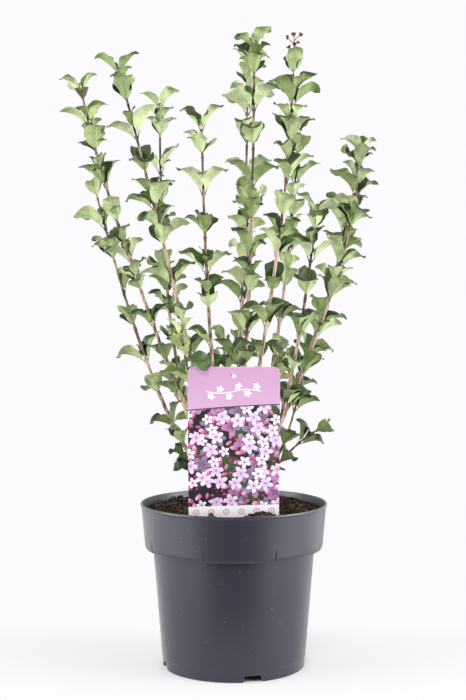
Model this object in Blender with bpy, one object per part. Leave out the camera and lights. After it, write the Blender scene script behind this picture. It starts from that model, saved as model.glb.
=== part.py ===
"""A lilac bush in its round nursery pot: many upright shoots from one short stool, each with pairs of folded leaves.

Every piece is one closed solid in metres, +Z up. The origin is on the ground, under the middle of the whole plant's
footprint. The pot stands a little to one side of it, because the bush leans that way.
"""

import math
import random
from collections import namedtuple

import bpy
from mathutils import Matrix, Vector
from mathutils.bvhtree import BVHTree

MM = 0.001
GAP = 0.3 * MM
POT_CENTRE = Vector((0.0148, -0.006, 0.0))

# Pot: a 19 cm container with a deep collar, a foot ring with notches and a raised floor.
POT_HEIGHT = 166.0 * MM
RIM_RADIUS = 95.0 * MM
COLLAR_HEIGHT = 45.5 * MM
COLLAR_RADIUS = 90.3 * MM
BODY_RADIUS = 82.0 * MM
FOOT_RADIUS = 72.5 * MM
FOOT_BAND = 10.5 * MM
BAND_RECESS = 0.5 * MM
WALL = 1.6 * MM
LIP = 1.6 * MM
RIM_FLARE = 0.8 * MM
FLOOR_LIFT = 3.5 * MM
POT_SEGMENTS = 32
NOTCHES = 4
NOTCH_TURN = math.radians(-75.0)
NOTCH_WIDTH = 21.0 * MM
NOTCH_HEIGHT = 6.5 * MM
NOTCH_TOP_SHARE = 0.78
NOTCH_IN = 12.0 * MM
NOTCH_OUT = 6.0 * MM
DRAIN_HOLES = 6
DRAIN_RADIUS = 4.5 * MM
DRAIN_CIRCLE = 52.0 * MM
DRAIN_SIDES = 10
CUTTER_REACH = 3.0 * MM

# Soil: level with a line just under the rim, with low bumps outside the flat seat of the stool.
SOIL_LEVEL = 158.0 * MM
SOIL_BUMP = 1.4 * MM
SOIL_RING_SHARES = (1.0, 0.8, 0.55)
SEAT_RADIUS = 20.0 * MM
SOIL_SEED = 5

# Label: a plain plastic card that leans forward in the soil, with a round-headed stake behind it.
CARD_WIDTH = 88.0 * MM
CARD_TOP = 309.0 * MM
CARD_THICKNESS = 0.8 * MM
CARD_FOOT_Y = -62.0 * MM
CARD_LEAN = math.radians(12.5)
CARD_CORNER = 6.5 * MM
CARD_SUNK = 26.0 * MM
CORNER_STEPS = 4
HANG_HOLE_RADIUS = 2.7 * MM
HANG_HOLE_DROP = 8.5 * MM
STAKE_WIDTH = 4.0 * MM
STAKE_THICKNESS = 1.6 * MM
STAKE_HEAD_RADIUS = 2.8 * MM
STAKE_PROUD = 2.2 * MM
STAKE_POINT = 6.0 * MM
HEAD_STEPS = 12
SLOT_ROOM = 2 * GAP
SLOT_BELOW = 8.0 * MM
SLOT_ABOVE = 12.0 * MM

# Stool: the short woody foot of the bush, cut flat where it meets the soil.
STOOL_HEIGHT = 17.0 * MM
STOOL_FLARE = 18.0 * MM
STOOL_NECK = 14.5 * MM
STOOL_SEGMENTS = 16
STOOL_LEVELS = (
    (0.0, STOOL_FLARE),
    (0.25, STOOL_FLARE - 2 * MM),
    (0.7, STOOL_NECK),
    (1.0, STOOL_NECK * 0.62),
)
STOOL_CROWN = 1.5 * MM
LOBES = 5
LOBE_DEPTH = 0.1
STUB_LENGTH = 12.0 * MM
STUB_SUNK = 7.0 * MM

# Shoots: the radius and the height above the soil of the rings from which they rise.
Ring = namedtuple("Ring", "radius rise limb foot_radius tip_radius")
RINGS = {
    "core": Ring(0.0, 18.0 * MM, 84.0 * MM, 2.5 * MM, 0.95 * MM),
    "inner": Ring(6.5 * MM, 18.0 * MM, 80.0 * MM, 2.3 * MM, 0.95 * MM),
    "outer": Ring(13.5 * MM, 14.0 * MM, 78.0 * MM, 2.4 * MM, 0.95 * MM),
    "low": Ring(14.5 * MM, 11.0 * MM, 0.0, 1.5 * MM, 0.9 * MM),
}

# Each shoot leaves its ring and curves to a tip that lies at an azimuth (degrees from +X), a reach from the pot's axis
# and a height above the ground. Out and up are the place of the curve's control point, as shares of the way from foot
# to tip. Turn is the azimuth of the top pair of leaves, gap its distance to the next pair, and leaf a leaf's length.
# Lengths here are in millimetres.
Shoot = namedtuple("Shoot", "name ring azimuth reach height out up turn gap leaf")
SHOOTS = (
    Shoot("tall_left", "outer", 176, 155, 585, 0.84, 0.70, 20, 13, 34),
    Shoot("mid_left", "outer", 153, 163, 481, 0.49, 0.15, 100, 36, 36),
    Shoot("tall_front_left", "outer", 211, 127, 588, 0.55, 0.58, 5, 27, 35),
    Shoot("tall_back_left", "outer", 130, 124, 577, 1.00, 0.15, 10, 33, 35),
    Shoot("front_centre", "outer", 256, 123, 530, 0.77, 0.20, 0, 25, 34),
    Shoot("back_centre", "inner", 83, 126, 627, 0.95, 0.55, 5, 22, 37),
    Shoot("tallest_centre", "core", 25, 23, 625, 0.93, 0.37, 0, 25, 36),
    Shoot("flowering_right", "inner", 316, 80, 590, 0.95, 0.66, 110, 30, 37),
    Shoot("back_right", "outer", 52, 114, 551, 0.68, 0.27, 10, 24, 35),
    Shoot("front_right", "outer", 306, 131, 454, 0.65, 0.16, 10, 19, 33),
    Shoot("inner_right", "outer", 27, 132, 463, 1.00, 0.74, 60, 20, 36),
    Shoot("tall_right", "outer", 353, 126, 518, 1.00, 0.68, 20, 17, 34),
    Shoot("young_front", "low", 239, 97, 339, 0.58, 0.31, 20, 20, 28),
    Shoot("low_right", "low", 358, 82, 238, 0.64, 0.80, 100, 18, 29),
    Shoot("low_front_left", "low", 209, 69, 248, 0.59, 0.54, 20, 22, 31),
    Shoot("short_left", "low", 144, 78, 286, 0.33, 0.66, 10, 22, 30),
    Shoot("short_back_left", "low", 98, 76, 322, 0.61, 0.50, 55, 22, 32),
    Shoot("short_front", "low", 266, 50, 318, 0.60, 0.44, 15, 22, 31),
    Shoot("short_back", "low", 87, 98, 322, 0.74, 0.38, 80, 22, 32),
    Shoot("short_right", "low", 17, 78, 312, 0.68, 0.20, 30, 22, 31),
    Shoot("short_front_right", "low", 307, 78, 314, 0.34, 0.49, 5, 22, 30),
    Shoot("low_left", "low", 186, 52, 214, 0.70, 0.55, 65, 20, 25),
)
PANICLE_SHOOT = "flowering_right"
CURVE_STEPS = 160
TWIG_SIDES = 5
TWIG_STEP = 32.0 * MM
FEWEST_STEPS = 6
LIMB_SIDES = 6
LIMB_STEPS = 3

# Pairs of leaves: gaps grow from the tip down, and each pair stands across the one above it. The leaves are largest
# a little below the tip and smaller near the ground.
GAP_GROWTH = 9.0 * MM
LONGEST_GAP = 37.0 * MM
LOWEST_PAIR = 9.0 * MM
GAP_SPREAD = (0.92, 1.08)
TOP_PAIR = 2.0 * MM
PAIR_TURN = 90.0
PAIR_SPREAD = 14.0
TIP_SIZE = 0.84
BELOW_TIP_SIZE = 0.97
MIDDLE_SIZE = 1.07
LOWEST_SIZE = 0.84

# Leaf: a short stalk, then a pointed oval blade folded up along its midrib, arching outwards.
STALK_SHARE = 0.15
STALK_RADIUS = 0.55 * MM
BLADE_THICKNESS = 0.7 * MM
BLADE_STATIONS = (0.40, 0.72)
HALF_WIDTH_SHARE = 0.41
WIDEST_RISE, WIDEST_FALL = 0.75, 1.05
BEND_POWER = 0.62
MIDRIB_STEPS = 24
ROOT_OUT = 0.15
GUARD_OUT = 2.2
TURN_SPREAD = 12.0
LENGTH_SPREAD = (0.9, 1.12)
WIDTH_SPREAD = (0.9, 1.1)
FOLD = (34.0, 56.0)
RISE = (68.0, 80.0)
BEND = (40.0, 70.0)
TWIST = (-28.0, 28.0)
GUARD = 0.9 * MM
TRIES = ((0, 1.0), (16, 1.0), (-16, 1.0), (30, 0.9), (-30, 0.9), (0, 0.72), (40, 0.75), (-40, 0.75))
LEAF_SEED = 40

# Panicle: the spent flower truss on the end of one shoot.
PANICLE_LENGTH = 41.0 * MM
PANICLE_SUNK = 4.0 * MM
PANICLE_RADIUS = 0.8 * MM
PANICLE_ARMS = 5
PANICLE_FIRST_ARM = 0.62
PANICLE_LAST_ARM = 0.88
PANICLE_ARM = 8.5 * MM
ARM_RADIUS = 0.5 * MM
ARM_TURN = 2.4
ARM_RISE = 0.8
ROD_TAPER = 0.75
BEAD_RADIUS = 1.4 * MM


def clear_scene():
    """Removes every object that the scene starts with."""
    for thing in list(bpy.data.objects):
        bpy.data.objects.remove(thing)


def make_material(name, colour, roughness):
    """A Principled BSDF with a plain colour."""
    material = bpy.data.materials.new(name)
    material.use_nodes = True
    shader = material.node_tree.nodes["Principled BSDF"]
    shader.inputs["Base Color"].default_value = (*colour, 1.0)
    shader.inputs["Roughness"].default_value = roughness
    shader.inputs["Metallic"].default_value = 0.0
    return material


def make_object(name, points, faces, material, smooth_degrees=None):
    """A mesh object from points and faces, linked to the scene."""
    mesh = bpy.data.meshes.new(name)
    mesh.from_pydata([tuple(p) for p in points], [], faces)
    mesh.materials.append(material)
    if smooth_degrees is not None:
        mesh.shade_smooth()
        mesh.set_sharp_from_angle(angle=math.radians(smooth_degrees))
    thing = bpy.data.objects.new(name, mesh)
    bpy.context.scene.collection.objects.link(thing)
    return thing


def apply_boolean(body, operation, tools):
    """Joins the tools to the body, or cuts them from it, and removes them."""
    group = bpy.data.collections.new(body.name + "_tools")
    bpy.context.scene.collection.children.link(group)
    for tool in tools:
        group.objects.link(tool)
    modifier = body.modifiers.new("join", "BOOLEAN")
    modifier.operation = operation
    modifier.operand_type = "COLLECTION"
    modifier.collection = group
    modifier.solver = "EXACT"
    bpy.context.view_layer.update()
    graph = bpy.context.evaluated_depsgraph_get()
    joined = bpy.data.meshes.new_from_object(body.evaluated_get(graph))
    body.modifiers.clear()
    body.data = joined
    for tool in tools:
        bpy.data.objects.remove(tool)
    bpy.data.collections.remove(group)


def turned_shape(profile, segments):
    """Points and faces of a solid turned about Z from (radius, height) pairs that start and end on the axis."""
    points = []
    rings = []
    for radius, height in profile:
        if radius < 1e-9:
            rings.append([len(points)] * segments)
            points.append(Vector((0.0, 0.0, height)))
            continue
        rings.append(list(range(len(points), len(points) + segments)))
        for k in range(segments):
            angle = 2 * math.pi * k / segments
            points.append(Vector((radius * math.cos(angle), radius * math.sin(angle), height)))
    faces = []
    for low, high in zip(rings, rings[1:]):
        for k in range(segments):
            following = (k + 1) % segments
            corners = [low[k], low[following], high[following], high[k]]
            corners = list(dict.fromkeys(corners))
            if len(corners) > 2:
                faces.append(corners)
    return points, faces


def body_radius(height):
    """Outer radius of the pot's tapering body at a height."""
    collar_foot = POT_HEIGHT - COLLAR_HEIGHT
    return FOOT_RADIUS + (BODY_RADIUS - FOOT_RADIUS) * height / collar_foot


def collar_radius(height):
    """Outer radius of the collar at a height."""
    share = (height - POT_HEIGHT + COLLAR_HEIGHT) / COLLAR_HEIGHT
    return COLLAR_RADIUS + (RIM_RADIUS - RIM_FLARE - COLLAR_RADIUS) * share


def pot_profile():
    """The pot's section, from the middle of its underside out, up, over the rim and down inside."""
    collar_foot = POT_HEIGHT - COLLAR_HEIGHT
    floor_top = FLOOR_LIFT + WALL
    return [
        (0.0, FLOOR_LIFT),
        (FOOT_RADIUS - BAND_RECESS - WALL, FLOOR_LIFT),
        (FOOT_RADIUS - BAND_RECESS - WALL, 0.0),
        (FOOT_RADIUS - BAND_RECESS, 0.0),
        (body_radius(FOOT_BAND) - BAND_RECESS, FOOT_BAND),
        (body_radius(FOOT_BAND), FOOT_BAND + BAND_RECESS),
        (BODY_RADIUS, collar_foot),
        (COLLAR_RADIUS - LIP, collar_foot),
        (COLLAR_RADIUS, collar_foot + LIP),
        (collar_radius(POT_HEIGHT - 2 * LIP), POT_HEIGHT - 2 * LIP),
        (RIM_RADIUS, POT_HEIGHT - LIP),
        (RIM_RADIUS - LIP / 2, POT_HEIGHT),
        (RIM_RADIUS - LIP, POT_HEIGHT),
        (COLLAR_RADIUS - WALL, collar_foot + WALL),
        (BODY_RADIUS - WALL, collar_foot + WALL),
        (body_radius(floor_top) - WALL, floor_top),
        (0.0, floor_top),
    ]


def notch_cutter(angle, number):
    """A wedge with sloping sides that cuts one drain notch through the foot ring."""
    half = NOTCH_WIDTH / 2
    narrow = half * NOTCH_TOP_SHARE
    corners = ((-half, -CUTTER_REACH), (half, -CUTTER_REACH), (narrow, NOTCH_HEIGHT), (-narrow, NOTCH_HEIGHT))
    ends = (FOOT_RADIUS - NOTCH_IN, FOOT_RADIUS + NOTCH_OUT)
    points = [Vector((radius, side, height)) for radius in ends for side, height in corners]
    faces = [(0, 3, 2, 1), (4, 5, 6, 7), (0, 1, 5, 4), (1, 2, 6, 5), (2, 3, 7, 6), (3, 0, 4, 7)]
    turn = Matrix.Rotation(angle, 4, "Z")
    return make_object(f"notch_{number}", [turn @ p for p in points], faces, None)


def drain_cutter(angle, number):
    """A round cutter through the raised floor."""
    centre = Vector((DRAIN_CIRCLE * math.cos(angle), DRAIN_CIRCLE * math.sin(angle), 0.0))
    low = FLOOR_LIFT - CUTTER_REACH
    high = FLOOR_LIFT + WALL + CUTTER_REACH
    profile = [(0.0, low), (DRAIN_RADIUS, low), (DRAIN_RADIUS, high), (0.0, high)]
    points, faces = turned_shape(profile, DRAIN_SIDES)
    return make_object(f"drain_{number}", [p + centre for p in points], faces, None)


def make_pot(material):
    """The nursery pot, with its notches and drain holes cut."""
    points, faces = turned_shape(pot_profile(), POT_SEGMENTS)
    pot = make_object("pot", points, faces, material, 25)
    cutters = []
    for k in range(NOTCHES):
        cutters.append(notch_cutter(NOTCH_TURN + 2 * math.pi * k / NOTCHES, k))
    for k in range(DRAIN_HOLES):
        cutters.append(drain_cutter(2 * math.pi * (k + 0.25) / DRAIN_HOLES, k))
    apply_boolean(pot, "DIFFERENCE", cutters)
    pot.location = POT_CENTRE
    return pot


def make_soil(material, slots):
    """The peat that fills the pot, with a flat seat in its middle and a slot for what is pushed into it."""
    collar_foot = POT_HEIGHT - COLLAR_HEIGHT
    bottom = FLOOR_LIFT + WALL + GAP
    rim_inside = COLLAR_RADIUS - WALL
    rise = (SOIL_LEVEL - collar_foot) / COLLAR_HEIGHT
    top_radius = rim_inside + (RIM_RADIUS - COLLAR_RADIUS) * rise - 3 * GAP
    profile = [
        (0.0, bottom),
        (body_radius(bottom) - WALL - 2 * GAP, bottom),
        (BODY_RADIUS - WALL - 2 * GAP, collar_foot + WALL + GAP),
        (rim_inside - 2 * GAP, collar_foot + WALL + GAP),
    ]
    profile += [(share * top_radius, SOIL_LEVEL) for share in SOIL_RING_SHARES]
    profile += [(SEAT_RADIUS, SOIL_LEVEL), (0.0, SOIL_LEVEL)]
    points, faces = turned_shape(profile, POT_SEGMENTS)
    draw = random.Random(SOIL_SEED)
    for point in points:
        radius = math.hypot(point.x, point.y)
        if point.z > SOIL_LEVEL - MM and radius > SEAT_RADIUS + MM:
            point.z += draw.uniform(-SOIL_BUMP, SOIL_BUMP)
    soil = make_object("soil", points, faces, material)
    soil.location = POT_CENTRE
    apply_boolean(soil, "DIFFERENCE", slots)
    return soil


def card_frame():
    """Turns card places (across, behind, up the card from the soil line) into the plant's frame."""
    lean = Matrix.Rotation(CARD_LEAN, 4, "X")
    foot = POT_CENTRE + Vector((0.0, CARD_FOOT_Y, SOIL_LEVEL))
    return Matrix.Translation(foot) @ lean


def card_height():
    """Length of the card above the soil line, measured along the card."""
    return (CARD_TOP - SOIL_LEVEL) / math.cos(CARD_LEAN)


def slab(name, outline, front, back, material):
    """A flat plate: an outline of (across, up) points, from front to back."""
    count = len(outline)
    points = [Vector((x, depth, z)) for depth in (front, back) for x, z in outline]
    faces = [tuple(range(count)), tuple(reversed(range(count, 2 * count)))]
    for k in range(count):
        following = (k + 1) % count
        faces.append((k, k + count, following + count, following))
    return make_object(name, [card_frame() @ p for p in points], faces, material)


def arc(centre, radius, start, end, steps):
    """Points on an arc, angles in degrees."""
    angles = [math.radians(start + (end - start) * k / steps) for k in range(steps + 1)]
    return [(centre[0] + radius * math.cos(a), centre[1] + radius * math.sin(a)) for a in angles]


def make_card(material):
    """The label: a plate with rounded top corners and a round hang hole."""
    half = CARD_WIDTH / 2
    top = card_height()
    outline = [(-half, -CARD_SUNK), (half, -CARD_SUNK)]
    outline += arc((half - CARD_CORNER, top - CARD_CORNER), CARD_CORNER, 0, 90, CORNER_STEPS)
    outline += arc((CARD_CORNER - half, top - CARD_CORNER), CARD_CORNER, 90, 180, CORNER_STEPS)
    card = slab("label_card", outline, 0.0, CARD_THICKNESS, material)
    hole = arc((0.0, top - HANG_HOLE_DROP), HANG_HOLE_RADIUS, 0, 330, 11)
    cutter = slab("hang_hole", hole, -CUTTER_REACH, CARD_THICKNESS + CUTTER_REACH, None)
    apply_boolean(card, "DIFFERENCE", [cutter])
    return card


def make_stake(material):
    """The thin stake behind the card, with a round head just above the card's top edge."""
    half = STAKE_WIDTH / 2
    head = card_height() + STAKE_PROUD - STAKE_HEAD_RADIUS
    bend = math.degrees(math.asin(half / STAKE_HEAD_RADIUS))
    outline = [(0.0, -CARD_SUNK - STAKE_POINT), (half, -CARD_SUNK)]
    outline += arc((0.0, head), STAKE_HEAD_RADIUS, bend - 90, 270 - bend, HEAD_STEPS)
    outline += [(-half, -CARD_SUNK)]
    front = CARD_THICKNESS + GAP
    return slab("label_stake", outline, front, front + STAKE_THICKNESS, material)


def make_slots():
    """Cutters for the slots in the soil that hold the card and its stake."""
    deep = -CARD_SUNK - SLOT_BELOW
    wide = CARD_WIDTH / 2 + SLOT_ROOM
    narrow = STAKE_WIDTH / 2 + SLOT_ROOM
    back = CARD_THICKNESS + GAP + STAKE_THICKNESS + SLOT_ROOM
    card_slot = [(-wide, deep), (wide, deep), (wide, SLOT_ABOVE), (-wide, SLOT_ABOVE)]
    stake_slot = [(-narrow, deep), (narrow, deep), (narrow, SLOT_ABOVE), (-narrow, SLOT_ABOVE)]
    return [
        slab("card_slot", card_slot, -SLOT_ROOM, CARD_THICKNESS + SLOT_ROOM, None),
        slab("stake_slot", stake_slot, 0.0, back, None),
    ]


def ring_feet():
    """Each shoot's foot: the shoots of a ring stand evenly round it, in the order of their azimuths."""
    feet = {}
    for name, ring in RINGS.items():
        members = sorted((s for s in SHOOTS if s.ring == name), key=lambda s: s.azimuth)
        step = 2 * math.pi / len(members)
        offsets = [math.radians(s.azimuth) - k * step for k, s in enumerate(members)]
        mean = math.atan2(sum(map(math.sin, offsets)), sum(map(math.cos, offsets)))
        for k, shoot in enumerate(members):
            angle = mean + k * step
            place = Vector((ring.radius * math.cos(angle), ring.radius * math.sin(angle), ring.rise))
            feet[shoot.name] = POT_CENTRE + Vector((0.0, 0.0, SOIL_LEVEL)) + place
    return feet


def shoot_curve(shoot, foot):
    """Points along a shoot's centre line: a quadratic curve from foot to tip, and the length at each point."""
    angle = math.radians(shoot.azimuth)
    tip = Vector((shoot.reach * math.cos(angle), shoot.reach * math.sin(angle), shoot.height)) * MM + POT_CENTRE
    way = tip - foot
    control = foot + Vector((way.x * shoot.out, way.y * shoot.out, way.z * shoot.up))
    points = []
    for k in range(CURVE_STEPS + 1):
        u = k / CURVE_STEPS
        points.append(foot * (1 - u) ** 2 + control * 2 * u * (1 - u) + tip * u**2)
    lengths = [0.0]
    for a, b in zip(points, points[1:]):
        lengths.append(lengths[-1] + (b - a).length)
    return points, lengths


def along(curve, distance):
    """(place, direction) at a distance along a curve. Before its start the curve runs on straight."""
    points, lengths = curve
    if distance <= 0:
        direction = (points[1] - points[0]).normalized()
        return points[0] + direction * distance, direction
    k = 0
    while k < len(points) - 2 and lengths[k + 1] < distance:
        k += 1
    share = (distance - lengths[k]) / (lengths[k + 1] - lengths[k])
    direction = (points[k + 1] - points[k]).normalized()
    return points[k].lerp(points[k + 1], share), direction


def across(direction, angle):
    """The unit vector square to a direction, at an angle round it from the side that faces +X."""
    first = (Vector((1, 0, 0)) - direction * direction.x).normalized()
    second = direction.cross(first)
    return first * math.cos(angle) + second * math.sin(angle)


def tube_shape(curve, stations, radii, sides):
    """Points and faces of a tube round a curve, with flat ends."""
    points = []
    for distance, radius in zip(stations, radii):
        centre, direction = along(curve, distance)
        for k in range(sides):
            points.append(centre + across(direction, 2 * math.pi * k / sides) * radius)
    count = len(stations)
    faces = [tuple(reversed(range(sides))), tuple(range((count - 1) * sides, count * sides))]
    for row in range(count - 1):
        for k in range(sides):
            low = row * sides
            following = (k + 1) % sides
            faces.append((low + k, low + following, low + sides + following, low + sides + k))
    return points, faces


def radius_at(shoot, curve, distance):
    """A shoot's radius, thinning evenly from foot to tip."""
    ring = RINGS[shoot.ring]
    share = max(0.0, distance) / curve[1][-1]
    return ring.foot_radius + (ring.tip_radius - ring.foot_radius) * share


def make_stool(shoots, material):
    """The stool: a flared, lobed stump with one short stub for each shoot."""
    profile = [(0.0, GAP)]
    profile += [(radius, GAP + share * STOOL_HEIGHT) for share, radius in STOOL_LEVELS]
    profile += [(0.0, GAP + STOOL_HEIGHT + STOOL_CROWN)]
    points, faces = turned_shape(profile, STOOL_SEGMENTS)
    for point in points:
        swell = 1 + LOBE_DEPTH * math.cos(LOBES * math.atan2(point.y, point.x))
        point.x *= swell
        point.y *= swell
    base = POT_CENTRE + Vector((0.0, 0.0, SOIL_LEVEL))
    stool = make_object("stool", [p + base for p in points], faces, material, 50)
    stubs = []
    for shoot, curve in shoots:
        stations = (-STUB_SUNK, STUB_LENGTH)
        radii = [radius_at(shoot, curve, s) for s in stations]
        points, faces = tube_shape(curve, stations, radii, LIMB_SIDES)
        stubs.append(make_object(f"stub_{shoot.name}", points, faces, material))
    apply_boolean(stool, "UNION", stubs)
    return stool


def make_limb(shoot, curve, material):
    """The bare lower part of a tall shoot, one tapering limb."""
    start = STUB_LENGTH + GAP
    end = STUB_LENGTH + RINGS[shoot.ring].limb
    stations = [start + (end - start) * k / LIMB_STEPS for k in range(LIMB_STEPS + 1)]
    radii = [radius_at(shoot, curve, s) for s in stations]
    points, faces = tube_shape(curve, stations, radii, LIMB_SIDES)
    return make_object(f"limb_{shoot.name}", points, faces, material, 60)


def pair_places(shoot, curve, start, draw):
    """Distances along the shoot of its pairs of leaves, from the tip down."""
    places = [curve[1][-1] - TOP_PAIR]
    gap = shoot.gap * MM
    while places[-1] - gap > start + LOWEST_PAIR:
        places.append(places[-1] - gap * draw.uniform(*GAP_SPREAD))
        gap = min(gap + GAP_GROWTH, LONGEST_GAP)
    return places


Leaf = namedtuple("Leaf", "root rise_from out length half_width fold rise bend twist stem_radius")


def half_width(leaf, t):
    """Half the blade's width at a share t of the leaf: a rounded base, widest below the middle, a pointed tip."""
    s = max(0.0, min(1.0, (t - STALK_SHARE) / (1 - STALK_SHARE)))
    widest = WIDEST_RISE / (WIDEST_RISE + WIDEST_FALL)
    top = widest**WIDEST_RISE * (1 - widest) ** WIDEST_FALL
    return leaf.half_width * s**WIDEST_RISE * (1 - s) ** WIDEST_FALL / top


def midrib(leaf, t):
    """(place, upper side) of the midrib at a share t: it climbs beside the stem and bends outwards."""
    place = leaf.root.copy()
    for k in range(MIDRIB_STEPS):
        middle = t * (k + 0.5) / MIDRIB_STEPS
        angle = leaf.rise - leaf.bend * middle**BEND_POWER
        step = leaf.out * math.cos(angle) + leaf.rise_from * math.sin(angle)
        place += step * (leaf.length * t / MIDRIB_STEPS)
    angle = leaf.rise - leaf.bend * t**BEND_POWER
    upper = leaf.rise_from * math.cos(angle) - leaf.out * math.sin(angle)
    return place, upper


def upper_and_lower(margin, middle, flip=False):
    """Two triangles of a blade, split from the near margin to the far midrib so that both its sides match."""
    triangles = [(margin, margin + 4, middle + 4), (margin, middle + 4, middle)]
    return [tuple(reversed(t)) for t in triangles] if flip else triangles


def leaf_shape(leaf, guard=0.0):
    """Points and faces of a leaf: a three-sided stalk sunk in the stem, then a folded blade with sharp margins."""
    side = leaf.out.cross(leaf.rise_from)
    start = leaf.out * math.cos(leaf.rise) + leaf.rise_from * math.sin(leaf.rise)
    root_upper = leaf.rise_from * math.cos(leaf.rise) - leaf.out * math.sin(leaf.rise)
    root = leaf.root + leaf.out * (GUARD_OUT * leaf.stem_radius + guard if guard else ROOT_OUT * leaf.stem_radius)
    thick = STALK_RADIUS + guard
    points = [
        root + side * thick,
        root - side * thick,
        root - root_upper * thick,
    ]
    centre, upper = midrib(leaf, STALK_SHARE)
    points += [
        centre + side * thick,
        centre + upper * thick * 0.6,
        centre - side * thick,
        centre - upper * thick,
    ]
    for t in BLADE_STATIONS:
        centre, upper = midrib(leaf, t)
        turn = leaf.twist * t
        sideways = side * math.cos(turn) + upper * math.sin(turn)
        above = upper * math.cos(turn) - side * math.sin(turn)
        width = half_width(leaf, t) + guard
        lift = above * math.sin(leaf.fold) * width
        spread = sideways * math.cos(leaf.fold) * width
        points += [
            centre + spread + lift,
            centre + above * (BLADE_THICKNESS / 2 + guard),
            centre - spread + lift,
            centre - above * (BLADE_THICKNESS / 2 + guard),
        ]
    tip, _ = midrib(leaf, 1.0)
    points.append(tip + start * guard)
    faces = [(0, 1, 2), (0, 4, 1), (0, 3, 4), (1, 4, 5), (1, 5, 6, 2), (2, 6, 3, 0)]
    for row in range(len(BLADE_STATIONS)):
        low = 3 + 4 * row
        for margin, middle in ((0, 1), (2, 3)):
            faces += upper_and_lower(low + margin, low + middle)
            faces += upper_and_lower(low + margin, low + (middle + 2) % 4, True)
    last = len(points) - 5
    faces += [(last + k, last + 4, last + (k + 1) % 4) for k in range(4)]
    return points, faces


def draw_leaf(shoot, curve, distance, angle, size, draw):
    """One leaf of a pair, with its own small differences."""
    place, direction = along(curve, distance)
    turn = angle + math.radians(draw.uniform(-TURN_SPREAD, TURN_SPREAD))
    length = shoot.leaf * MM * size * draw.uniform(*LENGTH_SPREAD)
    return Leaf(
        root=place,
        rise_from=direction,
        out=across(direction, turn),
        length=length,
        half_width=length * HALF_WIDTH_SHARE * draw.uniform(*WIDTH_SPREAD),
        fold=math.radians(draw.uniform(*FOLD)),
        rise=math.radians(draw.uniform(*RISE)),
        bend=math.radians(draw.uniform(*BEND)),
        twist=math.radians(draw.uniform(*TWIST)),
        stem_radius=radius_at(shoot, curve, distance),
    )


def turned_leaf(leaf, degrees, scale):
    """The same leaf, turned round its stem and made smaller."""
    turn = Matrix.Rotation(math.radians(degrees), 3, leaf.rise_from)
    return leaf._replace(out=turn @ leaf.out, length=leaf.length * scale, half_width=leaf.half_width * scale)


def tree_of(points, faces):
    """A search tree for overlap tests."""
    return BVHTree.FromPolygons([tuple(p) for p in points], faces)


def tree_of_object(thing):
    """The same for an object of the scene."""
    place = thing.matrix_basis
    points = [place @ v.co for v in thing.data.vertices]
    return tree_of(points, [tuple(p.vertices) for p in thing.data.polygons])


def fit_leaf(leaf, taken):
    """The leaf, moved a little where it would touch something, or None if there is no room for it."""
    for degrees, scale in TRIES:
        candidate = turned_leaf(leaf, degrees, scale)
        guard = tree_of(*leaf_shape(candidate, GUARD))
        if not any(guard.overlap(other) for other in taken):
            return candidate
    return None


def leaves_of(shoot, curve, start, draw):
    """Every leaf that the shoot would bear, from the tip down."""
    leaves = []
    places = pair_places(shoot, curve, start, draw)
    for k, distance in enumerate(places):
        size = MIDDLE_SIZE + (LOWEST_SIZE - MIDDLE_SIZE) * k / len(places)
        size = min(size, (TIP_SIZE, BELOW_TIP_SIZE, MIDDLE_SIZE)[min(k, 2)])
        facing = math.radians(shoot.turn + PAIR_TURN * k + draw.uniform(-PAIR_SPREAD, PAIR_SPREAD))
        for opposite in (0.0, math.pi):
            leaves.append(draw_leaf(shoot, curve, distance, facing + opposite, size, draw))
    return leaves


def twig_shape(shoot, curve, start):
    """The stem of a leafy mass: a tapering tube from the limb's tip, or from the stool, to the shoot's own tip."""
    end = curve[1][-1]
    steps = max(FEWEST_STEPS, math.ceil((end - start) / TWIG_STEP))
    stations = [start + (end - start) * k / steps for k in range(steps + 1)]
    radii = [radius_at(shoot, curve, s) for s in stations]
    return tube_shape(curve, stations, radii, TWIG_SIDES)


def bead_shape(centre, radius):
    """A small eight-faced bead."""
    points = [centre + Vector(axis) * radius * sign for axis in ((1, 0, 0), (0, 1, 0), (0, 0, 1)) for sign in (1, -1)]
    faces = [(0, 2, 4), (2, 1, 4), (1, 3, 4), (3, 0, 4), (2, 0, 5), (1, 2, 5), (3, 1, 5), (0, 3, 5)]
    return points, faces


def rod_shape(start, end, radii, sides):
    """A straight tapering rod."""
    length = (end - start).length
    return tube_shape(([start, end], [0.0, length]), (0.0, length), radii, sides)


def panicle_shapes(curve):
    """The spent truss: a stalk that goes on from the shoot's tip, with short arms that end in beads."""
    tip, direction = along(curve, curve[1][-1])
    top = tip + direction * PANICLE_LENGTH
    shapes = [rod_shape(tip - direction * PANICLE_SUNK, top, (PANICLE_RADIUS, PANICLE_RADIUS * ROD_TAPER), 4)]
    shapes.append(bead_shape(top, BEAD_RADIUS))
    for k in range(PANICLE_ARMS):
        share = PANICLE_FIRST_ARM + (PANICLE_LAST_ARM - PANICLE_FIRST_ARM) * k / (PANICLE_ARMS - 1)
        foot = tip + direction * PANICLE_LENGTH * share
        end = foot + (across(direction, ARM_TURN * k) + direction * ARM_RISE).normalized() * PANICLE_ARM
        shapes.append(rod_shape(foot, end, (ARM_RADIUS, ARM_RADIUS * ROD_TAPER), 3))
        shapes.append(bead_shape(end, BEAD_RADIUS))
    return shapes


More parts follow.
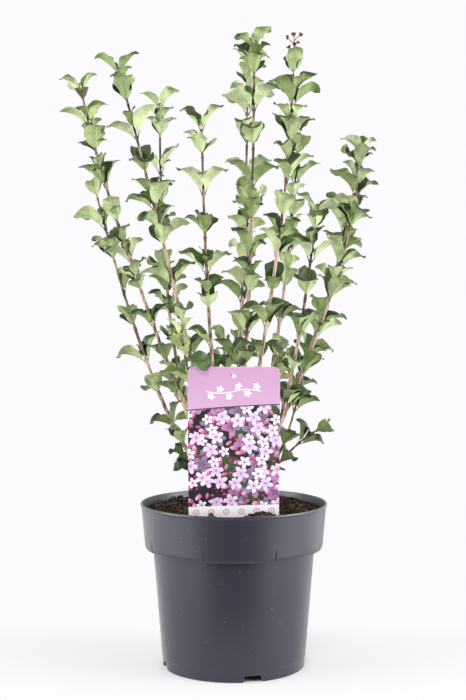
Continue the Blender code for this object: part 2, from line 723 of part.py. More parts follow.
def grow_shoots(curves, fixed, material):
    """The leafy masses. A leaf is kept only where it clears the other shoots, the pot and the label."""
    stems = {}
    leaves = {}
    for number, (shoot, curve) in enumerate(curves):
        start = STUB_LENGTH + RINGS[shoot.ring].limb + GAP
        stems[shoot.name] = twig_shape(shoot, curve, start)
        leaves[shoot.name] = leaves_of(shoot, curve, start, random.Random(LEAF_SEED + number))
    trees = {name: tree_of(*shape) for name, shape in stems.items()}
    taken = [tree_of_object(thing) for thing in fixed]
    kept = 0
    for shoot, curve in curves:
        others = [tree for name, tree in trees.items() if name != shoot.name]
        pieces = []
        for number, leaf in enumerate(leaves[shoot.name]):
            fitted = fit_leaf(leaf, taken + others)
            if fitted is None:
                continue
            kept += 1
            shape = leaf_shape(fitted)
            taken.append(tree_of(*shape))
            pieces.append(make_object(f"leaf_{shoot.name}_{number}", *shape, material))
        if shoot.name == PANICLE_SHOOT:
            for number, shape in enumerate(panicle_shapes(curve)):
                pieces.append(make_object(f"panicle_{number}", *shape, material))
        stem = make_object(f"shoot_{shoot.name}", *stems[shoot.name], material, 60)
        apply_boolean(stem, "UNION", pieces)
    print(f"{kept} of {sum(map(len, leaves.values()))} leaves kept")


def main():
    clear_scene()
    plastic = make_material("pot_plastic", (0.085, 0.09, 0.105), 0.45)
    peat = make_material("peat", (0.045, 0.03, 0.02), 0.95)
    card = make_material("card", (0.75, 0.42, 0.66), 0.4)
    white = make_material("white_plastic", (0.8, 0.8, 0.8), 0.4)
    bark = make_material("bark", (0.3, 0.2, 0.13), 0.8)
    leaf = make_material("leaf", (0.17, 0.27, 0.1), 0.5)
    feet = ring_feet()
    curves = [(shoot, shoot_curve(shoot, feet[shoot.name])) for shoot in SHOOTS]
    label_card = make_card(card)
    stake = make_stake(white)
    soil = make_soil(peat, make_slots())
    pot = make_pot(plastic)
    stool = make_stool(curves, bark)
    limbs = [make_limb(shoot, curve, bark) for shoot, curve in curves if RINGS[shoot.ring].limb]
    grow_shoots(curves, [label_card, stake, soil, pot, stool, *limbs], leaf)


main()
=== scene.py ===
# %% [markdown]
# # A lilac bush in its nursery pot
#
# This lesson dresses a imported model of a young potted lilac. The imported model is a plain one: faceted
# leaves, straight-sided stems and a 32-sided pot, each at its true size and place. Cell by cell we put
# the finished surfaces round it: a smooth pot, crumbly peat, a printed label, bark, and several hundred
# curled leaves.
#
# Nothing is drawn by hand. Each surface is a formula on a grid of two parameters, worked out with numpy
# as whole arrays, and each finish is made of Blender's texture nodes.

import math
import random
from collections import namedtuple

import bpy
import numpy as np
from mathutils import Matrix, Vector


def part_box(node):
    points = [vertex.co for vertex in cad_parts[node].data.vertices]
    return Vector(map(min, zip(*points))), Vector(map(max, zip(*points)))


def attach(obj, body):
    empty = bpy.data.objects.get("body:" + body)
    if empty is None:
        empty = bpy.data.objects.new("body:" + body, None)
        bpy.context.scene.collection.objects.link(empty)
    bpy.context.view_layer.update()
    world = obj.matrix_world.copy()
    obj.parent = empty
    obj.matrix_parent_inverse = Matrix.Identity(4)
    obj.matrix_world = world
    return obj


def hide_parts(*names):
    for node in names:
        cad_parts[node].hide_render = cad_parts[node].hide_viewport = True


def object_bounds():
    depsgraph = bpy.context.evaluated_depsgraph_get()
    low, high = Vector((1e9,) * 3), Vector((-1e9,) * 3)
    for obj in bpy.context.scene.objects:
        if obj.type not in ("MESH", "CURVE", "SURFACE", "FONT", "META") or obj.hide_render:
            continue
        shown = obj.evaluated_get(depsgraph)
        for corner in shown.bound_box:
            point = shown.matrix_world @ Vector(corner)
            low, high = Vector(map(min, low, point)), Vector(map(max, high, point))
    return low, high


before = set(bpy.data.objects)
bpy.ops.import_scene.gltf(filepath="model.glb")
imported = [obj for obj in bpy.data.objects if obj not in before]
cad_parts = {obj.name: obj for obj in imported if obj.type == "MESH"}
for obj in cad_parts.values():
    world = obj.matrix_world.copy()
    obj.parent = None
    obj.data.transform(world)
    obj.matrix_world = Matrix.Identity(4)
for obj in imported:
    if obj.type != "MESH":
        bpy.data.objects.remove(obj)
cad_low, cad_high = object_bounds()
MM = 0.001
print("CAD box in mm:", [round((b - a) / MM, 1) for a, b in zip(cad_low, cad_high)])

# %% [markdown]
# ## Where the pot stands
#
# The pot's axis is the line that everything is measured from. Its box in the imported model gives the
# axis, the height and the rim's radius, so those numbers are read and not typed in again.

# %% The pot's axis and the soil line
pot_low, pot_high = (np.array(corner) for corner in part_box("pot"))
AXIS = np.array([(pot_low[0] + pot_high[0]) / 2, (pot_low[1] + pot_high[1]) / 2, 0.0])
POT_HEIGHT = pot_high[2]
RIM_RADIUS = (pot_high[0] - pot_low[0]) / 2
SOIL_LEVEL = 158.0 * MM
SOIL_LINE = AXIS + np.array([0.0, 0.0, SOIL_LEVEL])
print("pot", round(POT_HEIGHT / MM, 1), "mm high, rim radius", round(RIM_RADIUS / MM, 1), "mm")

# %% [markdown]
# ## The camera
#
# A camera can be worked out from the pot alone. Its rim and its foot are both circles, and how flat
# each looks tells how high the camera stands and how far off it is: about 1.4 m away, a little above
# the rim, looking 2.4 degrees down. The lens follows from the picture being 700 pixels tall and a focal
# length of 1365 pixels.

# %% Camera
PICTURE_HEIGHT = 700
FOCAL_PIXELS = 1365
SENSOR = 36.0
CAMERA_PLACE = AXIS + np.array([-0.0008, -1.384, 0.3798])
CAMERA_DIP = math.radians(2.43)

camera = bpy.data.objects.new("camera", bpy.data.cameras.new("camera"))
bpy.context.scene.collection.objects.link(camera)
camera.data.sensor_width = SENSOR
camera.data.lens = FOCAL_PIXELS / PICTURE_HEIGHT * SENSOR
camera.location = CAMERA_PLACE
camera.rotation_euler = (math.pi / 2 - CAMERA_DIP, 0.0, 0.0)
bpy.context.scene.camera = camera
print("lens", round(camera.data.lens, 1), "mm")

# %% [markdown]
# ## Grids and meshes
#
# A surface here is an array of points with rows and columns. Neighbouring points make the faces. Where
# the last column joins the first, the surface closes round like a tube. One collector, called a heap,
# gathers many such grids into one mesh, and remembers for each face its finish and for each point its
# place on the flat map that patterns follow.

# %% From arrays to meshes


def smooth_step(x):
    """Goes from 0 at x = 0 to 1 at x = 1, level at both ends: three x squared less two x cubed."""
    x = np.clip(x, 0.0, 1.0)
    return x * x * (3 - 2 * x)


def unit(v):
    """Vectors scaled to length 1, along the last axis."""
    return v / np.linalg.norm(v, axis=-1, keepdims=True)


def grid_faces(rows, columns, closed=False):
    """Corner numbers of the faces between neighbouring points of a grid, as an array of four columns."""
    numbers = np.arange(rows * columns).reshape(rows, columns)
    if closed:
        numbers = np.concatenate([numbers, numbers[:, :1]], axis=1)
    corners = (numbers[:-1, :-1], numbers[:-1, 1:], numbers[1:, 1:], numbers[1:, :-1])
    return np.stack(corners, axis=-1).reshape(-1, 4)


class Heap:
    """Grids of points that become one mesh."""

    def __init__(self):
        """Starts empty."""
        self.points, self.faces, self.finishes, self.maps = [], [], [], []
        self.size = 0

    def add(self, points, faces, finish, chart=None):
        """Adds points, a list of faces and one finish number for all, or one for each face."""
        points = np.asarray(points).reshape(-1, 3)
        chart = np.zeros((len(points), 2)) if chart is None else np.asarray(chart).reshape(-1, 2)
        shifted = [tuple(int(c) + self.size for c in face) for face in faces]
        self.points.append(points)
        self.maps.append(chart)
        self.faces.extend(shifted)
        self.finishes.extend(np.broadcast_to(finish, (len(shifted),)).tolist())
        self.size += len(points)

    def add_copies(self, points, faces, finishes, charts):
        """Adds many grids that share one pattern of faces. The arrays' first axis counts the grids."""
        count, each = len(points), points[0].size // 3
        flat = points.reshape(count * each, 3)
        numbers = (faces[None] + (np.arange(count) * each)[:, None, None]).reshape(-1, faces.shape[1])
        self.add(flat, numbers, finishes.reshape(-1), charts.reshape(-1, 2))

    def piece(self, name, materials, replaced=(), sharp=60.0):
        """Makes the object, smooth except across edges sharper than the angle, and puts it on the frame."""
        mesh = bpy.data.meshes.new(name)
        mesh.from_pydata(np.concatenate(self.points).tolist(), [], self.faces)
        for material in materials:
            mesh.materials.append(material)
        mesh.polygons.foreach_set("material_index", np.array(self.finishes, dtype=np.int32))
        corners = np.empty(len(mesh.loops), dtype=np.int32)
        mesh.loops.foreach_get("vertex_index", corners)
        chart = mesh.uv_layers.new(name="chart")
        chart.data.foreach_set("uv", np.concatenate(self.maps)[corners].ravel())
        mesh.shade_smooth()
        mesh.set_sharp_from_angle(angle=math.radians(sharp))
        thing = bpy.data.objects.new(name, mesh)
        bpy.context.scene.collection.objects.link(thing)
        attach(thing, "root")
        if replaced:
            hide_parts(*replaced)
        print(f"{name}: {len(mesh.polygons)} faces")
        return thing


def tube_points(places, directions, radii, sides, swell=None):
    """Rings of points square to a path: place + radius (first cos a + second sin a)."""
    first = unit(np.array([1.0, 0.0, 0.0]) - directions * directions[:, :1])
    second = np.cross(directions, first)
    turns = np.arange(sides) * 2 * math.pi / sides
    reach = radii[:, None] * (np.ones((len(places), sides)) if swell is None else swell)
    ring = first[:, None] * np.cos(turns)[None, :, None] + second[:, None] * np.sin(turns)[None, :, None]
    return places[:, None] + ring * reach[..., None]


def tube_faces(rows, sides):
    """Faces of a tube with a flat end at its start and at its finish."""
    ends = [tuple(reversed(range(sides))), tuple(range((rows - 1) * sides, rows * sides))]
    return [tuple(face) for face in grid_faces(rows, sides, closed=True)] + ends


def ripple(turns, travel, seed, waves=9, finest=7, length=0.02):
    """Bark-like unevenness from -1 to 1: a sum of waves that close round a stem and wander along it."""
    draw = np.random.default_rng(seed)
    total = np.zeros(np.broadcast(turns, travel).shape)
    for _ in range(waves):
        round_count = draw.integers(1, finest)
        climb, phase = draw.uniform(0.3, 2.5), draw.uniform(0, 2 * math.pi)
        total += np.sin(round_count * turns + travel / length * climb + phase)
    return total / waves


# %% [markdown]
# ## A shorthand for texture nodes
#
# A finish is a small program of nodes. Written out in full it hides the idea, so these helpers let a
# formula read like one: a node's output is wrapped in a value, and each sign of arithmetic between
# values adds the node that does it.

# %% Nodes


class Value:
    """A node's output that formulas can use. Each sign of arithmetic adds one node."""

    def __init__(self, nodes, socket):
        """Keeps the output and the helpers that know its tree."""
        self.nodes, self.socket = nodes, socket

    def __add__(self, other):
        """The sum."""
        return self.nodes.math("ADD", self, other)

    def __sub__(self, other):
        """The difference."""
        return self.nodes.math("SUBTRACT", self, other)

    def __mul__(self, other):
        """The product."""
        return self.nodes.math("MULTIPLY", self, other)

    def __truediv__(self, other):
        """The quotient."""
        return self.nodes.math("DIVIDE", self, other)

    def __abs__(self):
        """The size without the sign."""
        return self.nodes.math("ABSOLUTE", self)


class Nodes:
    """A tree of nodes and short ways to add to it."""

    def __init__(self, tree):
        """Works on this tree of nodes."""
        self.tree = tree

    def put(self, socket, value):
        """Joins a value to an input, or sets the input to a plain number or colour."""
        if isinstance(value, Value):
            value = value.socket
        if isinstance(value, bpy.types.NodeSocket):
            self.tree.links.new(value, socket)
        elif isinstance(value, tuple) and len(value) == 3 and socket.type == "RGBA":
            socket.default_value = (*value, 1.0)
        else:
            socket.default_value = value

    def node(self, kind, settings=None, **inputs):
        """Adds a node, with its settings and its inputs by name."""
        node = self.tree.nodes.new("ShaderNode" + kind)
        for key, value in (settings or {}).items():
            setattr(node, key, value)
        for key, value in inputs.items():
            self.put(node.inputs[key.replace("_", " ")], value)
        return node

    def values(self, node):
        """A node's outputs as values."""
        return [Value(self, socket) for socket in node.outputs]

    def math(self, operation, *inputs):
        """One step of arithmetic."""
        node = self.node("Math", {"operation": operation})
        for socket, value in zip(node.inputs, inputs):
            self.put(socket, value)
        return self.values(node)[0]

    def distance(self, a, b):
        """The square root of a squared plus b squared."""
        return self.math("SQRT", self.math("POWER", a, 2.0) + self.math("POWER", b, 2.0))

    def ramp(self, value, low, high, start=0.0, end=1.0):
        """Start below low, end above high, and a smooth change between."""
        settings = {"interpolation_type": "SMOOTHSTEP"}
        inputs = {"Value": value, "From_Min": low, "From_Max": high, "To_Min": start, "To_Max": end}
        return self.values(self.node("MapRange", settings, **inputs))[0]

    def mix(self, share, first, second):
        """Colour that goes from first to second as share goes from 0 to 1."""
        node = self.node("Mix", {"data_type": "RGBA"})
        self.put(node.inputs["Factor"], share)
        self.put(node.inputs[6], first)
        self.put(node.inputs[7], second)
        return node.outputs[2]


class Finish(Nodes):
    """One Principled material and what its formulas read."""

    def __init__(self, name, colour, roughness, **sockets):
        """Starts from one plain colour and roughness, and any other sockets by name."""
        self.material = bpy.data.materials.new(name)
        self.material.use_nodes = True
        super().__init__(self.material.node_tree)
        self.shader = self.tree.nodes["Principled BSDF"]
        self.shader.inputs["Base Color"].default_value = (*colour, 1.0)
        self.shader.inputs["Roughness"].default_value = roughness
        for socket, value in sockets.items():
            self.shader.inputs[socket.replace("_", " ")].default_value = value

    def place(self):
        """The point's place in metres."""
        return self.node("TexCoord").outputs["Object"]

    def chart(self):
        """The point's two coordinates on the piece's own map."""
        spot = self.node("UVMap", {"uv_map": "chart"}).outputs[0]
        return self.values(self.node("SeparateXYZ", Vector=spot))[:2]

    def noise(self, scale, detail=3.0, stretch=None, roughness=0.5):
        """Cloudy noise with so many lumps to a metre, stretched where a scale for each axis is given."""
        place = self.place()
        if stretch:
            place = self.node("Mapping", Vector=place, Scale=stretch).outputs[0]
        inputs = {"Vector": place, "Scale": scale, "Detail": detail, "Roughness": roughness}
        return self.values(self.node("TexNoise", **inputs))[0]

    def colour(self, value):
        """Sends a colour to the shader."""
        self.put(self.shader.inputs["Base Color"], value)

    def relief(self, height, depth, strength=0.6):
        """Bumps as deep as given, in metres, where height is 1."""
        bump = self.node("Bump", Height=height, Distance=depth, Strength=strength)
        self.put(self.shader.inputs["Normal"], bump.outputs[0])


# %% [markdown]
# ## The pot
#
# A nursery pot is blown or injected in one thin wall: a tapering body, a deep collar that stiffens the
# rim, a foot ring with drain notches, and short upright dents under the collar that keep stacked pots
# from jamming. A lathe shape suits it: one profile carried round the axis. Each corner of the profile
# is rounded by a small curve, because a moulded corner catches the light. The dents are a dip in the
# radius, so the grid gets extra columns there.

# %% Pot profile
COLLAR_HEIGHT = 45.5 * MM
COLLAR_RADIUS = 90.3 * MM
BODY_RADIUS = 82.0 * MM
FOOT_RADIUS = 72.5 * MM
FOOT_BAND = 10.5 * MM
BAND_RECESS = 0.5 * MM
WALL = 1.6 * MM
LIP = 1.6 * MM
RIM_FLARE = 0.8 * MM
DENT_ROWS = (4.0, 6.0, 8.0, 9.5, 11.0)
FLOOR_LIFT = 3.5 * MM
COLLAR_FOOT = POT_HEIGHT - COLLAR_HEIGHT


def body_radius(height):
    """The tapering wall's outer radius: a straight line from foot to collar."""
    return FOOT_RADIUS + (BODY_RADIUS - FOOT_RADIUS) * height / COLLAR_FOOT


def collar_radius(height):
    """The collar's outer radius: a straight line from its foot to just under the rim."""
    return COLLAR_RADIUS + (RIM_RADIUS - RIM_FLARE - COLLAR_RADIUS) * (height - COLLAR_FOOT) / COLLAR_HEIGHT


def rounded_line(corners, steps=4):
    """A line through (radius, height, rounding) corners, each cut by (1-s)^2 A + 2s(1-s) C + s^2 B."""
    corners = np.array(corners)
    line = [corners[:1, :2]]
    for before, corner, after in zip(corners, corners[1:], corners[2:]):
        centre, rounding = corner[:2], corner[2]
        start = centre + unit(before[:2] - centre) * rounding
        end = centre + unit(after[:2] - centre) * rounding
        s = np.linspace(0.0, 1.0, steps + 1)[:, None]
        line.append((1 - s) ** 2 * start + 2 * s * (1 - s) * centre + s * s * end)
    line.append(corners[-1:, :2])
    return np.concatenate(line)


def pot_profile():
    """The pot's section, from the middle of its underside out, up, over the rim and down inside."""
    floor_top = FLOOR_LIFT + WALL
    foot = FOOT_RADIUS - BAND_RECESS
    dent_heights = COLLAR_FOOT + np.array(DENT_ROWS) * MM
    dent_rows = [(collar_radius(height), height, 0.2 * MM) for height in dent_heights]
    return rounded_line(
        [
            (0.5 * MM, FLOOR_LIFT, 0.0),
            (foot - WALL, FLOOR_LIFT, 0.4 * MM),
            (foot - WALL, 0.0, 0.3 * MM),
            (foot, 0.0, 0.6 * MM),
            (body_radius(FOOT_BAND) - BAND_RECESS, FOOT_BAND, 0.2 * MM),
            (body_radius(FOOT_BAND), FOOT_BAND + BAND_RECESS, 0.3 * MM),
            (BODY_RADIUS, COLLAR_FOOT, 1.0 * MM),
            (COLLAR_RADIUS - 0.6 * LIP, COLLAR_FOOT, 0.3 * MM),
            (COLLAR_RADIUS, COLLAR_FOOT + 1.2 * LIP, 1.3 * MM),
            *dent_rows,
            (collar_radius(POT_HEIGHT - 2 * LIP), POT_HEIGHT - 2 * LIP, 0.5 * MM),
            (RIM_RADIUS, POT_HEIGHT - 1.2 * LIP, 0.6 * MM),
            (RIM_RADIUS - 0.2 * LIP, POT_HEIGHT, 0.5 * MM),
            (RIM_RADIUS - LIP, POT_HEIGHT, 0.5 * MM),
            (COLLAR_RADIUS - WALL, COLLAR_FOOT + WALL, 1.0 * MM),
            (BODY_RADIUS - WALL, COLLAR_FOOT + WALL, 1.0 * MM),
            (body_radius(floor_top) - WALL, floor_top, 1.0 * MM),
            (0.5 * MM, floor_top, 0.0),
        ]
    )


profile = pot_profile()
print("pot profile of", len(profile), "points")

# %% Pot shell
DENTS = 8
DENT_TURN = math.radians(-90.0 - 18.5)
DENT_HEIGHT = 9.5 * MM
DENT_HALF_WIDTH = 0.9 * MM
DENT_DEPTH = 0.7 * MM
POT_COLUMNS = 240
NOTCHES = 4
NOTCH_TURN = math.radians(-75.0)
NOTCH_WIDTH = 21.0 * MM
NOTCH_HEIGHT = 6.5 * MM
NOTCH_TOP_SHARE = 0.78
DRAIN_HOLES = 6
DRAIN_RADIUS = 4.5 * MM
DRAIN_CIRCLE = 52.0 * MM
DRAIN_SIDES = 20
SHARP_PLASTIC = 30.0


def angle_gap(angles, others):
    """How far each angle is from the nearest of the others, round the circle."""
    gaps = (angles[:, None] - others + math.pi) % (2 * math.pi) - math.pi
    return np.abs(gaps).min(axis=1)


def pot_columns():
    """Angles of the grid's columns: even steps, with seven closer ones across each dent."""
    even = np.arange(POT_COLUMNS) * 2 * math.pi / POT_COLUMNS
    dents = DENT_TURN + np.arange(DENTS) * 2 * math.pi / DENTS
    across = np.linspace(-1.4, 1.4, 7) * DENT_HALF_WIDTH / COLLAR_RADIUS
    near = (dents[:, None] + across).ravel() % (2 * math.pi)
    spare = angle_gap(even, near) > math.radians(0.35)
    return np.sort(np.concatenate([even[spare], near])), dents


def pot_points():
    """Profile times turn. A dent is taken from the radius, and fades out sideways, upwards and inwards."""
    turns, dents = pot_columns()
    radius, height = profile[:, 0][:, None], profile[:, 1][:, None]
    gap = angle_gap(turns, dents) * COLLAR_RADIUS
    across = 1 - smooth_step(gap / DENT_HALF_WIDTH)
    upwards = 1 - smooth_step((height - COLLAR_FOOT - DENT_HEIGHT * 0.8) / (DENT_HEIGHT * 0.4))
    outside = (radius > BODY_RADIUS + 2 * MM) & (height > COLLAR_FOOT - MM)
    on_collar = outside & (radius > collar_radius(height) - 1.2 * WALL)
    radius = radius - DENT_DEPTH * across * upwards * on_collar
    flat = np.broadcast_to(height, radius.shape)
    return np.stack([radius * np.cos(turns), radius * np.sin(turns), flat], axis=-1) + AXIS


def wedge(angle):
    """Corners of a block with sloping sides that cuts a drain notch through the foot ring."""
    half = NOTCH_WIDTH / 2
    narrow = half * NOTCH_TOP_SHARE
    sides = np.array([(-half, -3 * MM), (half, -3 * MM), (narrow, NOTCH_HEIGHT), (-narrow, NOTCH_HEIGHT)])
    radii = np.array([FOOT_RADIUS - 12 * MM, FOOT_RADIUS + 6 * MM])
    out = np.array([math.cos(angle), math.sin(angle), 0.0])
    side = np.array([-math.sin(angle), math.cos(angle), 0.0])
    up = np.array([0.0, 0.0, 1.0])
    corners = radii[:, None, None] * out + sides[None, :, :1] * side + sides[None, :, 1:] * up
    faces = [(0, 3, 2, 1), (4, 5, 6, 7), (0, 1, 5, 4), (1, 2, 6, 5), (2, 3, 7, 6), (3, 0, 4, 7)]
    return corners.reshape(-1, 3) + AXIS, faces


def drain(angle):
    """A round peg that cuts a drain hole through the floor."""
    place = AXIS + np.array([math.cos(angle), math.sin(angle), 0.0]) * DRAIN_CIRCLE
    heights = np.array([FLOOR_LIFT - 3 * MM, FLOOR_LIFT + WALL + 3 * MM])
    places = place + heights[:, None] * np.array([0.0, 0.0, 1.0])
    directions = np.tile([0.0, 0.0, 1.0], (2, 1))
    peg = tube_points(places, directions, np.full(2, DRAIN_RADIUS), DRAIN_SIDES)
    return peg, tube_faces(2, DRAIN_SIDES)


def cut(thing, shapes):
    """Cuts the shapes from the piece with one exact Boolean, and leaves no cutter behind."""
    cutters = Heap()
    for points, faces in shapes:
        cutters.add(points, faces, 0)
    mesh = bpy.data.meshes.new("cutters")
    mesh.from_pydata(np.concatenate(cutters.points).tolist(), [], cutters.faces)
    tool = bpy.data.objects.new("cutters", mesh)
    bpy.context.scene.collection.objects.link(tool)
    modifier = thing.modifiers.new("cut", "BOOLEAN")
    modifier.operation, modifier.solver, modifier.object = "DIFFERENCE", "EXACT", tool
    bpy.context.view_layer.update()
    done = bpy.data.meshes.new_from_object(thing.evaluated_get(bpy.context.evaluated_depsgraph_get()))
    thing.modifiers.clear()
    thing.data = done
    bpy.data.objects.remove(tool)


# %% [markdown]
# Moulded polypropylene is dark, a little blue, and satin. It is plain, so what makes it real is small:
# broad clouds in its colour, a fine grain, a soft sheen at its edges and specks of pale dust.

# %% Pot finish and pot


def pot_finish():
    """Dark satin plastic with a soft sheen, slightly cloudy, finely grained and a little dusty."""
    satin = {"Specular_IOR_Level": 0.55, "Sheen_Weight": 0.40, "Sheen_Roughness": 0.30}
    finish = Finish("pot_plastic", (0.023, 0.021, 0.035), 0.36, **satin)
    shade = finish.mix(finish.noise(9.0, 2.0), (0.018, 0.017, 0.030), (0.023, 0.022, 0.037))
    dust = finish.ramp(finish.noise(260.0, 1.0, roughness=0.3), 0.74, 0.80)
    finish.colour(finish.mix(dust * 0.22, shade, (0.20, 0.20, 0.22)))
    finish.relief(finish.noise(900.0, 2.0), 0.05 * MM, 0.25)
    return finish.material


def make_pot():
    """The lathe shape, with its notches and drain holes cut through."""
    points = pot_points()
    heap = Heap()
    heap.add(points, tube_faces(*points.shape[:2]), 0)
    shell = heap.piece("pot_shell", [pot_finish()], ["pot"], sharp=SHARP_PLASTIC)
    shapes = [wedge(NOTCH_TURN + 2 * math.pi * k / NOTCHES) for k in range(NOTCHES)]
    shapes += [drain(2 * math.pi * (k + 0.25) / DRAIN_HOLES) for k in range(DRAIN_HOLES)]
    cut(shell, shapes)
    shell.data.set_sharp_from_angle(angle=math.radians(SHARP_PLASTIC))
    return shell


pot_shell = make_pot()
print("pot after its cuts:", len(pot_shell.data.polygons), "faces")

# %% [markdown]
# ## The peat
#
# Potting compost is a heap of crumbs, with fibres and bits of bark. From a step away the heap's surface
# is just uneven ground, so it is a polar grid with waves of several lengths. The crumbs that catch the
# eye are made one by one: a twenty-faced ball whose corners are pushed about, squashed and half sunk.
# Some lie against the label.

# %% Peat surface and crumbs
SOIL_REACH = 92.0 * MM
SOIL_RINGS = 46
SOIL_COLUMNS = 180
CRUMBS = 2600
CHIPS = 260
HEAP_CRUMBS = 170
HEAPS = ((29.0 * MM, 11.0 * MM, 7.0 * MM), (-22.0 * MM, 3.5 * MM, 6.5 * MM))
HEAP_FRONT = 5.5 * MM
HEAP_DEPTH = 4.5 * MM
SMALL_HEAP = 14
PEAT_SEED = 5
CARD_FOOT_Y = -62.0 * MM
LEDGE_RISE = 2.5 * MM
PEAT_FOOT_RADIUS = 71.0 * MM
PEAT_CLEARANCE = 0.4 * MM


def ground(x, y):
    """Height of the peat at places round the pot's axis: waves of three lengths, and the heaps as bells."""
    draw = np.random.default_rng(PEAT_SEED)
    height = np.zeros(np.broadcast(x, y).shape)
    for wavelength, depth in ((60 * MM, 1.3 * MM), (22 * MM, 0.8 * MM), (8 * MM, 0.55 * MM)):
        for _ in range(5):
            heading, phase = draw.uniform(0, 2 * math.pi, 2)
            along = x * math.cos(heading) + y * math.sin(heading)
            height += depth / 2.2 * np.sin(2 * math.pi * along / wavelength + phase)
    for place, wide, high in HEAPS:
        deep = (y - CARD_FOOT_Y + HEAP_FRONT) ** 2 / HEAP_DEPTH**2
        height += high * np.exp(-((x - place) ** 2) / wide**2 - deep)
    return height


def crumb_ball():
    """A ball of 12 points and 20 faces: the golden ratio places its corners."""
    g = (1 + math.sqrt(5)) / 2
    corners = [(-1, g, 0), (1, g, 0), (-1, -g, 0), (1, -g, 0), (0, -1, g), (0, 1, g)]
    corners += [(0, -1, -g), (0, 1, -g), (g, 0, -1), (g, 0, 1), (-g, 0, -1), (-g, 0, 1)]
    faces = [(0, 11, 5), (0, 5, 1), (0, 1, 7), (0, 7, 10), (0, 10, 11), (1, 5, 9), (5, 11, 4), (11, 10, 2)]
    faces += [(10, 7, 6), (7, 1, 8), (3, 9, 4), (3, 4, 2), (3, 2, 6), (3, 6, 8), (3, 8, 9), (4, 9, 5)]
    faces += [(2, 4, 11), (6, 2, 10), (8, 6, 7), (9, 8, 1)]
    return unit(np.array(corners, dtype=float)), np.array(faces)


def crumbs(x, y, radii, flatness, draw):
    """Balls at places on the peat: corners pushed in or out by a third, stretched, turned and half sunk."""
    ball, faces = crumb_ball()
    count = len(x)
    shape = ball[None] * draw.uniform(0.62, 1.2, (count, 12, 1)) * draw.uniform(0.6, 1.3, (count, 1, 3))
    shape[..., 2] *= flatness
    turn, tip = draw.uniform(0, 2 * math.pi, (2, count, 1))
    tilt = 0.5 * np.cos(tip)
    a, b, c = shape[..., 0], shape[..., 1], shape[..., 2]
    b, c = b * np.cos(tilt) - c * np.sin(tilt), b * np.sin(tilt) + c * np.cos(tilt)
    a, b = a * np.cos(turn) - b * np.sin(turn), a * np.sin(turn) + b * np.cos(turn)
    shape = np.stack([a, b, c], axis=-1) * radii[:, None, None]
    centre = np.stack([x, y, ground(x, y) + radii * 0.25], axis=-1) + SOIL_LINE
    return shape + centre[:, None], faces


def scattered(count, draw, inner=21 * MM):
    """Even scatter over the ring between stool and wall: the radius grows as a square root."""
    radius = np.sqrt(draw.uniform(inner**2, (SOIL_REACH - 4 * MM) ** 2, count))
    turn = draw.uniform(0, 2 * math.pi, count)
    return radius * np.cos(turn), radius * np.sin(turn)


def peat_finish(name, dark, light, scale, rough=0.95):
    """Brown that goes from dark to light in small clouds, with a dull crumbly relief."""
    finish = Finish(name, dark, rough, Specular_IOR_Level=0.25)
    cloud = finish.noise(scale, 4.0, roughness=0.65)
    finish.colour(finish.mix(finish.ramp(cloud, 0.38, 0.68), dark, light))
    finish.relief(cloud, 1.2 * MM, 0.9)
    return finish.material


def peat_body():
    """A closed turned shape, its faces pointing outwards: a rough top, and a plain wall and bottom."""
    shares = np.linspace(0.004, 1.0, SOIL_RINGS)[:, None]
    turns = np.arange(SOIL_COLUMNS) * 2 * math.pi / SOIL_COLUMNS
    x, y = shares * SOIL_REACH * np.cos(turns), shares * SOIL_REACH * np.sin(turns)
    top = np.stack([x, y, ground(x, y)], axis=-1)
    play = WALL + PEAT_CLEARANCE
    ledge = COLLAR_FOOT + LEDGE_RISE - SOIL_LEVEL
    bottom = FLOOR_LIFT + play - SOIL_LEVEL
    radius = np.array([COLLAR_RADIUS - play, BODY_RADIUS - play, PEAT_FOOT_RADIUS, 0.4 * MM])[:, None]
    height = np.array([ledge, ledge, bottom, bottom + 0.2 * MM])[:, None]
    flat = np.broadcast_to(height, (len(height), SOIL_COLUMNS))
    lower = np.stack([radius * np.cos(turns), radius * np.sin(turns), flat], axis=-1)
    points = np.concatenate([top, lower]) + SOIL_LINE
    return points, [face[::-1] for face in tube_faces(len(points), SOIL_COLUMNS)]


def make_peat():
    """The filled body, crumbs all over it, flat chips of fibre and moss, and two heaps by the label."""
    finishes = [
        peat_finish("peat", (0.006, 0.004, 0.003), (0.040, 0.024, 0.014), 420.0),
        peat_finish("peat_brown", (0.022, 0.012, 0.007), (0.120, 0.072, 0.042), 500.0),
        peat_finish("peat_fibre", (0.080, 0.055, 0.030), (0.290, 0.220, 0.140), 700.0),
        peat_finish("peat_moss", (0.060, 0.070, 0.018), (0.190, 0.210, 0.070), 700.0),
    ]
    heap = Heap()
    heap.add(*peat_body(), 0)
    draw = np.random.default_rng(PEAT_SEED + 1)

    def lay(x, y, radii, flatness, lowest, *shares):
        """Crumbs with the finish numbered lowest, or one more for each share that a draw falls under."""
        shapes, pattern = crumbs(x, y, radii, flatness, draw)
        kinds = lowest + sum(draw.random(len(x)) < share for share in shares)
        heap.add_copies(shapes, pattern, np.repeat(kinds, len(pattern)), np.zeros((*shapes.shape[:2], 2)))

    x, y = scattered(CRUMBS, draw)
    lay(x, y, (0.8 + 2.6 * draw.random(CRUMBS) ** 3) * MM, 0.8, 0, 0.42)
    x, y = scattered(CHIPS, draw)
    lay(x, y, draw.uniform(0.8, 2.0, CHIPS) * MM, 0.35, 1, 0.6, 0.3)
    which = (np.arange(HEAP_CRUMBS) < SMALL_HEAP).astype(int)
    places, widths = (np.array(column)[which] for column in list(zip(*HEAPS))[:2])
    x = places + draw.normal(0, 0.75, HEAP_CRUMBS) * widths
    y = CARD_FOOT_Y - HEAP_FRONT + draw.normal(0, 2.4 * MM, HEAP_CRUMBS)
    lay(x, y, draw.uniform(1.0, 3.2, HEAP_CRUMBS) * MM, 0.85, 0, 0.5)
    return heap.piece("peat_fill", finishes, ["soil"], sharp=40.0)


